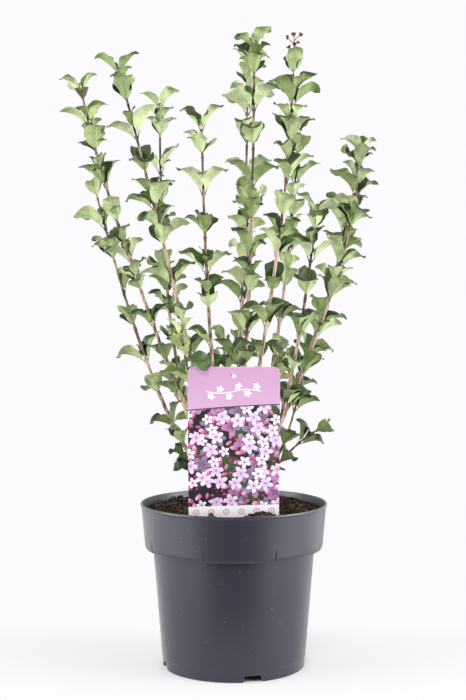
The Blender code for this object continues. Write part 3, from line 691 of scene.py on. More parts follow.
make_peat()

# %% [markdown]
# ## The label
#
# A plant label is a plastic card, die-cut with round corners and a hang hole, printed on its front. The
# card is one closed band: its section runs from the hole's edge out to the card's edge on the front,
# and back behind. The print is worked out by nodes from a map in millimetres: a pink head with a white
# sprig, a dark field filled with five-petalled blossoms and oval buds, and a white foot with a row of
# rings. Arithmetic draws each motif crisply at any size.

# %% Card
CARD_WIDTH = 88.0 * MM
CARD_TOP = 309.0 * MM
CARD_THICKNESS = 0.8 * MM
CARD_LEAN = math.radians(12.5)
CARD_CORNER = 6.5 * MM
CARD_SUNK = 26.0 * MM
HANG_HOLE_RADIUS = 2.7 * MM
HANG_HOLE_DROP = 8.5 * MM
CARD_LENGTH = (CARD_TOP - SOIL_LEVEL) / math.cos(CARD_LEAN)
GAP = 0.3 * MM
CARD_FOOT = SOIL_LINE + np.array([0.0, CARD_FOOT_Y, 0.0])
CARD_UP = np.array([0.0, -math.sin(CARD_LEAN), math.cos(CARD_LEAN)])
CARD_BEHIND = np.array([0.0, math.cos(CARD_LEAN), math.sin(CARD_LEAN)])


def on_card(across, behind, up):
    """Turns card places (across, behind the front, up from the soil line) into the plant's frame."""
    across, behind, up = (np.asarray(value, dtype=float)[..., None] for value in (across, behind, up))
    return across * np.array([1.0, 0.0, 0.0]) + behind * CARD_BEHIND + up * CARD_UP + CARD_FOOT


def card_outline():
    """The card's edge from its lower left corner round: straight sides in short steps, corners as arcs."""
    half, top = CARD_WIDTH / 2, CARD_LENGTH
    arc = np.linspace(0, math.pi / 2, 9)[:, None]
    rise = np.linspace(-CARD_SUNK, top - CARD_CORNER, 13)[:, None]
    level = np.linspace(-half, half, 9)[:, None]
    right = np.concatenate([np.full_like(rise, half), rise], axis=1)
    corner = CARD_CORNER * np.concatenate([np.cos(arc), np.sin(arc)], axis=1)
    corner = corner + (half - CARD_CORNER, top - CARD_CORNER)
    middle = np.linspace(half - CARD_CORNER, CARD_CORNER - half, 9)[1:-1, None]
    crown = np.concatenate([middle, np.full_like(middle, top)], axis=1)
    other = corner[::-1] * (-1, 1)
    bottom = np.concatenate([level, np.full_like(level, -CARD_SUNK)], axis=1)[1:-1]
    return np.concatenate([right, corner[1:], crown, other[:-1], right[::-1] * (-1, 1), bottom])


def card_points():
    """The band's section at each point of the outline: out along the front, then back in behind."""
    edge = card_outline()
    hole = np.array([0.0, CARD_LENGTH - HANG_HOLE_DROP])
    rim = hole + unit(edge - hole) * HANG_HOLE_RADIUS
    shares = np.array([0.0, 0.03, 0.2, 0.6, 1.0])[:, None, None]
    front = rim + (edge - rim) * shares
    flat = np.concatenate([front, front[::-1]])
    depth = np.repeat([0.0, CARD_THICKNESS], len(shares))[:, None]
    chart = np.stack([flat[..., 0] / CARD_WIDTH + 0.5, flat[..., 1] / CARD_LENGTH], axis=-1)
    return on_card(flat[..., 0], depth, flat[..., 1]), chart


# %% [markdown]
# The print is laid out in cells, every other column half a cell lower. The place in a cell gives an
# angle a and a distance, and a five-petalled blossom is all points nearer than
# R (0.34 + 0.66 |cos 2.5a|). The cells' numbers feed a white noise that shifts, turns and tints each
# motif, and a slow noise that lets them crowd in some places.

# %% Print
MM_ACROSS = CARD_WIDTH / MM
MM_UP = CARD_LENGTH / MM
SPRIG_HALF = 26.0
SPRIG_STEP = SPRIG_HALF / 3
SPRIG_DROP = 24.0
SPRIG_WAVE = 2.0
SPRIG_REACH = 4.0
SPRIG_PETAL = 3.7
RING_STEP = MM_ACROSS / 6
RING_RADIUS = 2.6
RING_DROP = 6.2
CELL_PLAY = (0.36, 0.64)


def cell(finish, x, y, width, height, shift, turn=0.0):
    """Half-drop cells: the place from the cell's shifted middle, and three random numbers for each cell."""
    cosine, sine = math.cos(turn), math.sin(turn)
    x, y = x * cosine + y * sine, y * cosine - x * sine
    across = x / width + shift
    column = finish.math("FLOOR", across)
    up = y / height + (finish.math("MODULO", column, 2.0) * 0.5 + shift)
    number = finish.node("CombineXYZ", X=column, Y=finish.math("FLOOR", up), Z=shift * 7.3).outputs[0]
    scatter = finish.node("TexWhiteNoise", Vector=number).outputs["Color"]
    dice = finish.values(finish.node("SeparateColor", Color=scatter))
    a = finish.math("FRACT", across) - finish.ramp(dice[0], 0.0, 1.0, *CELL_PLAY)
    b = finish.math("FRACT", up) - finish.ramp(dice[1], 0.0, 1.0, *CELL_PLAY)
    crowd = finish.node("TexNoise", Vector=number, Scale=0.31, Detail=0.0).outputs[0]
    lots = (dice[0], dice[1], dice[2] / finish.ramp(crowd, 0.38, 0.60, 0.45, 1.45))
    return a * width, b * height, lots


def shown(finish, dice, share):
    """1 in this share of the cells, more where they crowd, and 0 in the others."""
    return finish.math("LESS_THAN", dice[2], share)


def petals(finish, a, b, turn, depth):
    """A five-petalled outline's distance over its tips' distance: 1 - depth (1 - |cos 2.5a|)."""
    angle = finish.math("ARCTAN2", b, a)
    if turn is not None:
        angle = angle + turn
    return abs(finish.math("COSINE", angle * 2.5)) * depth + (1 - depth)


def blossom(finish, under, placed, radius, share, tints, throat):
    """Paints a blossom over the colours under it, in some of the cells: distance over outline below 1."""
    a, b, dice = placed
    size = finish.ramp(dice[1], 0.0, 1.0, 0.72, 1.12) * radius
    reach = petals(finish, a, b, dice[0] * (2 * math.pi), 0.66) * size
    distance = finish.distance(a, b)
    depth = distance / reach
    petal = finish.mix(finish.ramp(dice[1], 0.45, 0.85), *tints)
    petal = finish.mix(finish.ramp(depth, 0.80, 0.15), petal, throat)
    petal = finish.mix(finish.ramp(distance, radius * 0.16, radius * 0.08), petal, (0.36, 0.10, 0.26))
    return finish.mix(finish.ramp(depth, 1.04, 0.94) * shown(finish, dice, share), under, petal)


def bud(finish, under, placed, radius, slimness, share, shades):
    """Paints an oval bud with a pale side in some of the cells: sqrt(along^2 + (slimness aside)^2) < R."""
    a, b, dice = placed
    turn = dice[0] * math.pi
    cosine, sine = finish.math("COSINE", turn), finish.math("SINE", turn)
    along = a * cosine + b * sine
    aside = (b * cosine - a * sine) * slimness
    size = finish.ramp(dice[1], 0.0, 1.0, 0.6, 1.1) * radius
    depth = finish.distance(along, aside) / size
    lit = finish.ramp(b + along, -radius, radius)
    shade = finish.mix(lit * dice[1], *shades)
    return finish.mix(finish.ramp(depth, 1.05, 0.85) * shown(finish, dice, share), under, shade)


def sprig(finish, under, x, y):
    """A white stem along one long wave, with blossoms above and below it by turns."""
    from_middle = x - MM_ACROSS / 2
    swing = finish.math("SINE", from_middle * (math.pi / SPRIG_HALF))
    rise = y - (MM_UP - SPRIG_DROP) - swing * SPRIG_WAVE
    stem = finish.ramp(abs(rise), 0.65, 0.30)
    steps = from_middle / SPRIG_STEP
    a = (finish.math("FRACT", steps) - 0.5) * SPRIG_STEP
    side = finish.math("SIGN", finish.math("SINE", steps * math.pi))
    b = rise - side * SPRIG_REACH
    depth = finish.distance(a, b) / (petals(finish, a, b, None, 0.6) * SPRIG_PETAL)
    flower = finish.ramp(depth, 1.06, 0.92)
    near = finish.ramp(abs(from_middle), SPRIG_HALF + 0.2, SPRIG_HALF - 0.2)
    return finish.mix(finish.math("MAXIMUM", stem, flower) * near, under, (0.90, 0.86, 0.91))


def rings(finish, under, x, rise):
    """A row of small rose rings, each with a dot: the points at nearly R from their cell's middle."""
    a = (finish.math("FRACT", x / RING_STEP) - 0.5) * RING_STEP
    distance = finish.distance(a, rise)
    band = finish.ramp(abs(distance - RING_RADIUS), 0.75, 0.35)
    dot = finish.ramp(distance, 1.1, 0.7)
    return finish.mix(finish.math("MAXIMUM", band, dot) * 0.8, under, (0.52, 0.20, 0.40))


DARK_ROSE, ROSE, PINK = (0.16, 0.012, 0.055), (0.52, 0.10, 0.28), (0.88, 0.50, 0.70)
FAINT_LILAC = ((0.25, 0.20, 0.33), (0.40, 0.24, 0.40))
BRIGHT_LILAC = ((0.90, 0.87, 0.96), (0.78, 0.62, 0.82))
LAYERS = (
    (bud, (5.3, 4.6, 0.3, 0.5), (1.9, 1.0, 0.45, (DARK_ROSE, ROSE))),
    (blossom, (19.0, 16.0, 0.62, -0.6), (10.5, 0.62, FAINT_LILAC, (0.16, 0.08, 0.16))),
    (bud, (8.6, 7.4, 0.85, 0.8), (4.4, 2.1, 0.62, (ROSE, PINK))),
    (blossom, (13.2, 12.0, 0.1, 0.4), (7.4, 0.48, BRIGHT_LILAC, (0.60, 0.42, 0.68))),
    (blossom, (17.0, 14.6, 0.45, -0.3), (7.6, 0.40, BRIGHT_LILAC, (0.62, 0.40, 0.64))),
)
HEAD_DROP, HEAD_RISE, HEAD_BOW = 42.4, 9.0, 3.0
FOOT_DROP, FOOT_RISE = 141.3, 2.9
SLOT_HALF, SLOT_CURVE = 2.1, 0.0118


def head_colour(finish, x, y, above):
    """Pink that deepens upwards, faintly cloudy, with a lens-shaped slot at the hang hole and the sprig."""
    head = finish.mix(finish.ramp(above, 0.0, 38.0), (0.57, 0.345, 0.525), (0.54, 0.295, 0.485))
    head = finish.mix(finish.noise(45.0, 2.0) * 0.25, head, (0.62, 0.430, 0.590))
    from_hole = abs(x - MM_ACROSS / 2)
    slot = finish.math("SUBTRACT", SLOT_HALF, finish.math("POWER", from_hole, 2.0) * SLOT_CURVE)
    lens = finish.ramp(slot - abs(y - (MM_UP - HANG_HOLE_DROP / MM)), -0.2, 0.2)
    return sprig(finish, finish.mix(lens * 0.45, head, (0.58, 0.27, 0.50)), x, y)


def print_finish():
    """The whole print, from the ground up: dark leaves, layers of motifs, then head and foot over them."""
    finish = Finish("card_print", (0.6, 0.3, 0.5), 0.32, Specular_IOR_Level=0.45)
    u, v = finish.chart()
    x, y = u * MM_ACROSS, v * MM_UP
    leafy = finish.ramp(finish.noise(34.0, 1.0), 0.50, 0.60)
    paint = finish.mix(leafy, (0.018, 0.020, 0.022), (0.045, 0.085, 0.035))
    for motif, cells, look in LAYERS:
        paint = motif(finish, paint, cell(finish, x, y, *cells), *look)
    above = y - (u * HEAD_RISE + (MM_UP - HEAD_DROP) - finish.math("POWER", u, 2.0) * HEAD_BOW)
    paint = finish.mix(finish.ramp(above, -1.3, -1.1), paint, (0.10, 0.035, 0.11))
    paint = finish.mix(finish.ramp(above, -0.1, 0.1), paint, head_colour(finish, x, y, above))
    foot = u * FOOT_RISE + (MM_UP - FOOT_DROP) - y
    paint = finish.mix(finish.ramp(foot, -0.1, 0.1), paint, (0.93, 0.92, 0.95))
    finish.colour(rings(finish, paint, x, foot - RING_DROP))
    return finish.material


def white_finish(name, colour, roughness):
    """Plain white plastic: a faint cloud in its gloss is all that it shows."""
    finish = Finish(name, colour, roughness)
    gloss = finish.ramp(finish.noise(60.0), 0.3, 0.7, roughness - 0.05, roughness + 0.08)
    finish.put(finish.shader.inputs["Roughness"], gloss)
    return finish.material


def make_card():
    """The closed band, printed on its front and white behind."""
    points, chart = card_points()
    rows, columns = points.shape[:2]
    numbers = np.arange(rows * columns).reshape(rows, columns)
    numbers = np.concatenate([numbers, numbers[:1]])
    numbers = np.concatenate([numbers, numbers[:, :1]], axis=1)
    corners = (numbers[:-1, :-1], numbers[1:, :-1], numbers[1:, 1:], numbers[:-1, 1:])
    faces = np.stack(corners, axis=-1).reshape(-1, 4)
    front = np.repeat(np.arange(rows) < rows // 2 - 1, columns)
    heap = Heap()
    heap.add(points, faces, np.where(front, 0, 1), chart)
    finishes = [print_finish(), white_finish("card_back", (0.80, 0.79, 0.81), 0.4)]
    return heap.piece("label_print_card", finishes, ["label_card"], sharp=30.0)


make_card()

# %% [markdown]
# The stake is a thin strip behind the card with a round head, which shows just above the card's edge.
# Its section is a superellipse, between an oval and a rectangle, and its half width follows the strip
# up into the head.

# %% Stake
STAKE_WIDTH = 4.0 * MM
STAKE_THICKNESS = 1.6 * MM
STAKE_HEAD_RADIUS = 2.8 * MM
STAKE_PROUD = 2.2 * MM
STAKE_SIDES = 20
STAKE_SQUARENESS = 0.55


def squared(wave):
    """A sine or cosine pushed outwards, which squares an oval: its sign times a power of its size."""
    return np.sign(wave) * np.abs(wave) ** STAKE_SQUARENESS


def make_stake():
    """Half width: a point below, then even, then the circle sqrt(r^2 - h^2) round the head's middle."""
    head = CARD_LENGTH + STAKE_PROUD - STAKE_HEAD_RADIUS
    shank = np.linspace(-CARD_SUNK - 6 * MM, head - STAKE_HEAD_RADIUS, 24)
    crown = head - STAKE_HEAD_RADIUS * np.cos(np.linspace(0.25 * math.pi, 0.985 * math.pi, 16))
    up = np.concatenate([shank, crown])
    circle = np.sqrt(np.clip(STAKE_HEAD_RADIUS**2 - (up - head) ** 2, 0, None))
    point = smooth_step((up - up[0]) / (8 * MM)) * 0.85 + 0.15
    half = np.where(up < head, np.maximum(circle, STAKE_WIDTH / 2), circle) * point
    turns = np.arange(STAKE_SIDES) * 2 * math.pi / STAKE_SIDES
    across = half[:, None] * squared(np.cos(turns))
    thick = STAKE_THICKNESS / 2 * np.minimum(1, half / (0.8 * MM))[:, None]
    behind = CARD_THICKNESS + GAP + STAKE_THICKNESS / 2 + thick * squared(np.sin(turns))
    points = on_card(across, behind, np.broadcast_to(up[:, None], across.shape))
    heap = Heap()
    heap.add(points, [face[::-1] for face in tube_faces(len(up), STAKE_SIDES)], 0)
    material = white_finish("stake_plastic", (0.82, 0.82, 0.83), 0.35)
    return heap.piece("label_stake_strip", [material], ["label_stake"], sharp=50.0)


make_stake()

# %% [markdown]
# ## The rule that the bush grows by
#
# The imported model's source grows the bush by a rule, and this scene follows the same rule with finer
# parts. Each shoot leaves its place on the stool and follows a curve to its tip. From the tip down it
# bears pairs of leaves, each pair across the one above. The same seeded numbers are drawn in the same
# order, so each fine leaf grows where its faceted one is.

# %% Shoots
Ring = namedtuple("Ring", "radius rise limb foot_radius tip_radius")
RINGS = {
    "core": Ring(0.0, 18.0 * MM, 84.0 * MM, 2.5 * MM, 0.95 * MM),
    "inner": Ring(6.5 * MM, 18.0 * MM, 80.0 * MM, 2.3 * MM, 0.95 * MM),
    "outer": Ring(13.5 * MM, 14.0 * MM, 78.0 * MM, 2.4 * MM, 0.95 * MM),
    "low": Ring(14.5 * MM, 11.0 * MM, 0.0, 1.5 * MM, 0.9 * MM),
}
Shoot = namedtuple("Shoot", "name ring azimuth reach height out up turn gap leaf")
SHOOTS = (
    Shoot("tall_left", "outer", 176, 155, 585, 0.84, 0.70, 20, 13, 34),
    Shoot("mid_left", "outer", 153, 163, 481, 0.49, 0.15, 100, 36, 36),
    Shoot("tall_front_left", "outer", 211, 127, 588, 0.55, 0.58, 5, 27, 35),
    Shoot("tall_back_left", "outer", 130, 124, 577, 1.00, 0.15, 10, 33, 35),
    Shoot("front_centre", "outer", 256, 123, 530, 0.77, 0.20, 0, 25, 34),
    Shoot("back_centre", "inner", 83, 126, 627, 0.95, 0.55, 5, 22, 37),
    Shoot("tallest_centre", "core", 25, 23, 625, 0.93, 0.37, 0, 25, 36),
    Shoot("flowering_right", "inner", 316, 80, 590, 0.95, 0.66, 110, 30, 37),
    Shoot("back_right", "outer", 52, 114, 551, 0.68, 0.27, 10, 24, 35),
    Shoot("front_right", "outer", 306, 131, 454, 0.65, 0.16, 10, 19, 33),
    Shoot("inner_right", "outer", 27, 132, 463, 1.00, 0.74, 60, 20, 36),
    Shoot("tall_right", "outer", 353, 126, 518, 1.00, 0.68, 20, 17, 34),
    Shoot("young_front", "low", 239, 97, 339, 0.58, 0.31, 20, 20, 28),
    Shoot("low_right", "low", 358, 82, 238, 0.64, 0.80, 100, 18, 29),
    Shoot("low_front_left", "low", 209, 69, 248, 0.59, 0.54, 20, 22, 31),
    Shoot("short_left", "low", 144, 78, 286, 0.33, 0.66, 10, 22, 30),
    Shoot("short_back_left", "low", 98, 76, 322, 0.61, 0.50, 55, 22, 32),
    Shoot("short_front", "low", 266, 50, 318, 0.60, 0.44, 15, 22, 31),
    Shoot("short_back", "low", 87, 98, 322, 0.74, 0.38, 80, 22, 32),
    Shoot("short_right", "low", 17, 78, 312, 0.68, 0.20, 30, 22, 31),
    Shoot("short_front_right", "low", 307, 78, 314, 0.34, 0.49, 5, 22, 30),
    Shoot("low_left", "low", 186, 52, 214, 0.70, 0.55, 65, 20, 25),
)
CURVE_STEPS = 160
STUB_SUNK = 7.0 * MM
STUB_LENGTH = 12.0 * MM


def ring_feet():
    """Each shoot's foot: the shoots of a ring stand evenly round it, in the order of their azimuths."""
    feet = {}
    for name, ring in RINGS.items():
        members = sorted((s for s in SHOOTS if s.ring == name), key=lambda s: s.azimuth)
        step = 2 * math.pi / len(members)
        offsets = np.array([math.radians(s.azimuth) - k * step for k, s in enumerate(members)])
        mean = math.atan2(np.sin(offsets).sum(), np.cos(offsets).sum())
        for k, shoot in enumerate(members):
            angle = mean + k * step
            place = np.array([ring.radius * math.cos(angle), ring.radius * math.sin(angle), ring.rise])
            feet[shoot.name] = SOIL_LINE + place
    return feet


def shoot_line(shoot, foot):
    """Points along a shoot, foot (1-u)^2 + 2u(1-u) control + u^2 tip, and the length at each point."""
    angle = math.radians(shoot.azimuth)
    tip = np.array([shoot.reach * math.cos(angle), shoot.reach * math.sin(angle), shoot.height]) * MM + AXIS
    control = foot + (tip - foot) * (shoot.out, shoot.out, shoot.up)
    u = np.linspace(0.0, 1.0, CURVE_STEPS + 1)[:, None]
    points = foot * (1 - u) ** 2 + control * 2 * u * (1 - u) + tip * u**2
    steps = np.linalg.norm(np.diff(points, axis=0), axis=1)
    return points, np.concatenate([[0.0], np.cumsum(steps)])


def along(line, distances):
    """Places and directions at distances along a line. Before its start the line runs on straight."""
    points, lengths = line
    distances = np.asarray(distances, dtype=float)
    k = np.clip(np.searchsorted(lengths, distances) - 1, 0, len(points) - 2)
    directions = unit(points[k + 1] - points[k])
    share = np.maximum(distances, 0.0) - lengths[k]
    start = points[k] + directions * share[..., None]
    return start + directions * np.minimum(distances, 0.0)[..., None], directions


def across(directions, angles):
    """Unit vectors square to the directions, at angles round them from the side that faces +X."""
    first = unit(np.array([1.0, 0.0, 0.0]) - directions * directions[..., :1])
    second = np.cross(directions, first)
    return first * np.cos(angles)[..., None] + second * np.sin(angles)[..., None]


def radius_at(shoot, line, distances):
    """A shoot's radius, thinning evenly from foot to tip."""
    ring = RINGS[shoot.ring]
    share = np.maximum(0.0, distances) / line[1][-1]
    return ring.foot_radius + (ring.tip_radius - ring.foot_radius) * share


feet = ring_feet()
lines = {shoot.name: shoot_line(shoot, feet[shoot.name]) for shoot in SHOOTS}
print(len(lines), "shoots,", round(sum(line[1][-1] for line in lines.values()), 2), "m of stem")

# %% [markdown]
# ## Which leaves grow, and where
#
# Where a faceted leaf would have touched a neighbour, the source turned it aside, made it smaller or
# left it out. Rather than test all that again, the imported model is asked: a leaf's tip is a corner of
# its mesh, so the way of turning whose tip is found there is the one that was used.

# %% Leaves drawn by the rule
GAP_GROWTH = 9.0 * MM
LONGEST_GAP = 37.0 * MM
LOWEST_PAIR = 9.0 * MM
GAP_SPREAD = (0.92, 1.08)
TOP_PAIR = 2.0 * MM
PAIR_TURN = 90.0
PAIR_SPREAD = 14.0
TIP_SIZE, BELOW_TIP_SIZE, MIDDLE_SIZE, LOWEST_SIZE = 0.84, 0.97, 1.07, 0.84
HALF_WIDTH_SHARE = 0.41
BEND_POWER = 0.62
MIDRIB_STEPS = 24
TURN_SPREAD = 12.0
LENGTH_SPREAD = (0.9, 1.12)
WIDTH_SPREAD = (0.9, 1.1)
FOLD, RISE, BEND, TWIST = (34.0, 56.0), (68.0, 80.0), (40.0, 70.0), (-28.0, 28.0)
TRIES = ((0, 1.0), (16, 1.0), (-16, 1.0), (30, 0.9), (-30, 0.9), (0, 0.72), (40, 0.75), (-40, 0.75))
LEAF_SEED = 40
SAME_PLACE = 0.4 * MM
LONGER, WIDER = 1.03, 0.91


def pair_places(shoot, line, start, draw):
    """Distances along the shoot of its pairs of leaves, from the tip down."""
    places = [line[1][-1] - TOP_PAIR]
    gap = shoot.gap * MM
    while places[-1] - gap > start + LOWEST_PAIR:
        places.append(places[-1] - gap * draw.uniform(*GAP_SPREAD))
        gap = min(gap + GAP_GROWTH, LONGEST_GAP)
    return places


def drawn_leaves(shoot, line, start, draw):
    """The numbers of every leaf that the shoot would bear, one row each."""
    places = pair_places(shoot, line, start, draw)
    rows = []
    for k, distance in enumerate(places):
        size = MIDDLE_SIZE + (LOWEST_SIZE - MIDDLE_SIZE) * k / len(places)
        size = min(size, (TIP_SIZE, BELOW_TIP_SIZE, MIDDLE_SIZE)[min(k, 2)])
        facing = math.radians(shoot.turn + PAIR_TURN * k + draw.uniform(-PAIR_SPREAD, PAIR_SPREAD))
        for opposite in (0.0, math.pi):
            turn = facing + opposite + math.radians(draw.uniform(-TURN_SPREAD, TURN_SPREAD))
            length = shoot.leaf * MM * size * draw.uniform(*LENGTH_SPREAD)
            half = length * HALF_WIDTH_SHARE * draw.uniform(*WIDTH_SPREAD)
            angles = [math.radians(draw.uniform(*spread)) for spread in (FOLD, RISE, BEND, TWIST)]
            rows.append((distance, turn, length, half, *angles, k))
    return np.array(rows), places


class Leaves:
    """Many leaves at once: each value is an array with one entry, or one vector, for each leaf."""

    def __init__(self, shoot, line, rows):
        """Reads the rows' columns, and finds each leaf's root and its direction out from the stem."""
        self.distance, turn, self.length, self.half = rows.T[:4]
        self.fold, self.rise, self.bend, self.twist, self.pair = rows.T[4:]
        self.root, self.up = along(line, self.distance)
        self.out = across(self.up, turn)
        self.stem = radius_at(shoot, line, self.distance)

    def turned(self, degrees, scale):
        """Out vectors turned round the stem, with the lengths made smaller."""
        angle = np.radians(degrees)[..., None]
        side = np.cross(self.up, self.out)
        return self.out * np.cos(angle) + side * np.sin(angle), self.length * scale

    def tips(self, out, length):
        """Where the tips lie: the root plus the mean of the midrib's direction times the length."""
        t = (np.arange(MIDRIB_STEPS) + 0.5) / MIDRIB_STEPS
        angle = self.rise[:, None] - self.bend[:, None] * t**BEND_POWER
        way = out * np.cos(angle).mean(axis=1)[:, None] + self.up * np.sin(angle).mean(axis=1)[:, None]
        return self.root + way * length[:, None]

    def kept(self, node):
        """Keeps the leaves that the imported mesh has, each turned and scaled as it was there."""
        corners = np.array([v.co for v in node.data.vertices])
        done = np.zeros(len(self.length), dtype=bool)
        out, length, half = self.out.copy(), self.length.copy(), self.half.copy()
        for degrees, scale in TRIES:
            new_out, new_length = self.turned(np.full(len(done), float(degrees)), scale)
            tips = self.tips(new_out, new_length)
            near = np.linalg.norm(tips[:, None] - corners[None], axis=-1).min(axis=1) < SAME_PLACE
            take = near & ~done
            out[take], length[take], half[take] = new_out[take], new_length[take], self.half[take] * scale
            done |= near
        self.out, self.length, self.half = out, length * LONGER, half * WIDER
        return self.chosen(done)

    def chosen(self, which):
        """Only some of the leaves."""
        for key, value in vars(self).items():
            setattr(self, key, value[which])
        return self


bushes = {}
for number, shoot in enumerate(SHOOTS):
    line = lines[shoot.name]
    start = STUB_LENGTH + RINGS[shoot.ring].limb + GAP
    rows, places = drawn_leaves(shoot, line, start, random.Random(LEAF_SEED + number))
    leaves = Leaves(shoot, line, rows).kept(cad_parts["shoot_" + shoot.name])
    bushes[shoot.name] = (leaves, places)
print(sum(len(leaves.length) for leaves, _ in bushes.values()), "leaves found in the packed model")

# %% [markdown]
# ## The shape of one leaf
#
# A lilac leaf of this kind has a short red stalk and a pointed oval blade. It is folded up along its
# midrib like a boat, its margins wave and here and there roll outwards, and towards the tip the fold
# opens and turns over, so that the dark upper side shows. Seen from outside, most of what shows is the
# pale underside.
#
# The blade is a grid: rows along the midrib, columns from margin to margin. Its underside shares the
# edge points with its upper side, so a leaf is one closed thin shape with two colours.

# %% Blade
STALK_SHARE = 0.15
FINE = 96
ROWS = np.array([15, 19, 25, 32, 39, 47, 54, 61, 68, 75, 81, 87, 92, 96])
COLUMNS = np.array([-1.0, -0.74, -0.4, -0.05, 0.05, 0.4, 0.74, 1.0])
BASE_POWER, TIP_START, TIP_POWER = 0.72, 1.6, 1.0
BEND_LESS = 0.82
BLADE_THICKNESS = 0.32 * MM
OFF_STEM = 0.75
WOBBLES = 1.6
DROOP_FROM = 0.76
OPEN_FROM = 0.70
ROLL_LENGTH = 0.13
LOOKS_OF_ONE_SIDE = ("phase", "uneven", "roll", "roll_place")
CARD_CLEARANCE = 1.2 * MM
BOX_CLEARANCE = 0.3 * MM
TINY = 1e-9


def looks_of(count, seed):
    """Small differences between the leaves, drawn once for all."""
    draw = np.random.default_rng(seed)
    return {
        "droop": np.radians(draw.uniform(0, 75, count)),
        "lean": np.radians(draw.normal(0, 7, count)),
        "uneven": draw.uniform(0.78, 1.22, (count, 2)),
        "wobble": np.radians(draw.uniform(2, 9, count)),
        "open": draw.uniform(0.7, 2.1, count),
        "wave": np.radians(draw.uniform(6, 24, count)),
        "phase": draw.uniform(0, 2 * math.pi, (count, 2)),
        "waves": draw.uniform(1.8, 3.4, count),
        "roll": np.radians(draw.uniform(20, 125, (count, 2))) * (draw.random((count, 2)) < 0.5),
        "roll_place": draw.uniform(0.4, 0.85, (count, 2)),
        "sway": draw.normal(0, 0.08, count),
    }


def midribs(leaves, looks):
    """Places and upper sides along each midrib: it climbs by the stem, bends out and droops at its tip."""
    t = np.linspace(0.0, 1.0, FINE + 1)
    angle = leaves.rise[:, None] - leaves.bend[:, None] * BEND_LESS * t**BEND_POWER
    angle = angle + looks["lean"][:, None] * smooth_step(t / 0.3)
    wobble = np.sin(2 * math.pi * WOBBLES * t + looks["phase"][:, :1]) * smooth_step(t / 0.4)
    angle = angle + looks["wobble"][:, None] * wobble
    angle = angle - looks["droop"][:, None] * smooth_step((t - DROOP_FROM) / (1 - DROOP_FROM))
    middle = (angle[:, 1:] + angle[:, :-1]) / 2
    step = leaves.out[:, None] * np.cos(middle)[..., None] + leaves.up[:, None] * np.sin(middle)[..., None]
    travel = np.cumsum(step, axis=1) * (leaves.length / FINE)[:, None, None]
    place = np.concatenate([np.zeros((len(travel), 1, 3)), travel], axis=1) + leaves.root[:, None]
    clear = leaves.out * (leaves.stem * OFF_STEM)[:, None]
    place = place + clear[:, None] * smooth_step(t / 0.05)[None, :, None]
    side = np.cross(leaves.out, leaves.up)
    sway = (looks["sway"] * leaves.length)[:, None] * smooth_step((t - 0.2) / 0.8)
    place = place + side[:, None] * sway[..., None]
    upper = leaves.up[:, None] * np.cos(angle)[..., None] - leaves.out[:, None] * np.sin(angle)[..., None]
    return t, place, side, upper


def blade_width(leaves, t):
    """Half the width: s^a (1 - s^b)^c over the blade's share s, scaled to 1 at its widest."""
    s = np.linspace(0.0, 1.0, 200)
    widest = (s**BASE_POWER * (1 - s**TIP_START) ** TIP_POWER).max()
    s = np.clip((t - STALK_SHARE) / (1 - STALK_SHARE), 0.0, 1.0)
    return leaves.half[:, None] * s**BASE_POWER * (1 - s**TIP_START) ** TIP_POWER / widest


def blade_points(leaves, looks):
    """Upper-side points (leaf, row, column): steps at the fold's angle are summed out to each margin."""
    t, place, side, upper = midribs(leaves, looks)
    t, place, upper = t[ROWS], place[:, ROWS], upper[:, ROWS]
    width = blade_width(leaves, t) + 0.12 * MM
    turn = leaves.twist[:, None] * t
    sideways = side[:, None] * np.cos(turn)[..., None] + upper * np.sin(turn)[..., None]
    above = upper * np.cos(turn)[..., None] - side[:, None] * np.sin(turn)[..., None]
    flip = 1 - looks["open"][:, None] * smooth_step((t - OPEN_FROM) / (1 - OPEN_FROM))
    base = leaves.fold[:, None] * (1.12 - 0.2 * t) * flip
    points = np.zeros((len(leaves.length), len(ROWS), len(COLUMNS), 3))
    half = len(COLUMNS) // 2
    for hand, sign in ((0, 1.0), (1, -1.0)):
        shares = np.concatenate([[0.0], COLUMNS[half:]])
        phase, uneven, roll, roll_place = (looks[key][:, hand : hand + 1] for key in LOOKS_OF_ONE_SIDE)
        wave = looks["wave"][:, None] * np.sin(2 * math.pi * looks["waves"][:, None] * t + phase)
        patch = np.exp(-(((t - roll_place) / ROLL_LENGTH) ** 2))
        x = np.zeros_like(width)
        y = np.zeros_like(width)
        for k in range(1, len(shares)):
            a = (shares[k] + shares[k - 1]) / 2
            angle = base * uneven * (1.18 - 0.5 * a) + wave * a * (0.3 + 0.7 * a)
            angle = angle - roll * patch * smooth_step((a - 0.45) / 0.5)
            x = x + (shares[k] - shares[k - 1]) * width * np.cos(angle)
            y = y + (shares[k] - shares[k - 1]) * width * np.sin(angle)
            column = half - 1 + k if sign > 0 else half - k
            points[:, :, column] = place + sideways * (sign * x)[..., None] + above * y[..., None]
    return points, above


def clear_of_card(points, rooted_behind):
    """Leaf points within the card's outline move behind or in front of it, less so towards its edges."""
    offset = points - CARD_FOOT
    up, behind = offset @ CARD_UP, offset @ CARD_BEHIND
    inside = smooth_step((CARD_WIDTH / 2 + 6 * MM - np.abs(offset[..., 0])) / (5 * MM))
    inside = inside * smooth_step((CARD_LENGTH + 6 * MM - up) / (5 * MM))
    back = np.maximum(0.0, CARD_CLEARANCE + CARD_THICKNESS + STAKE_THICKNESS - behind)
    front = np.minimum(0.0, -CARD_CLEARANCE - behind)
    push = np.where(rooted_behind[:, None, None], back, front) * inside
    return points + push[..., None] * CARD_BEHIND


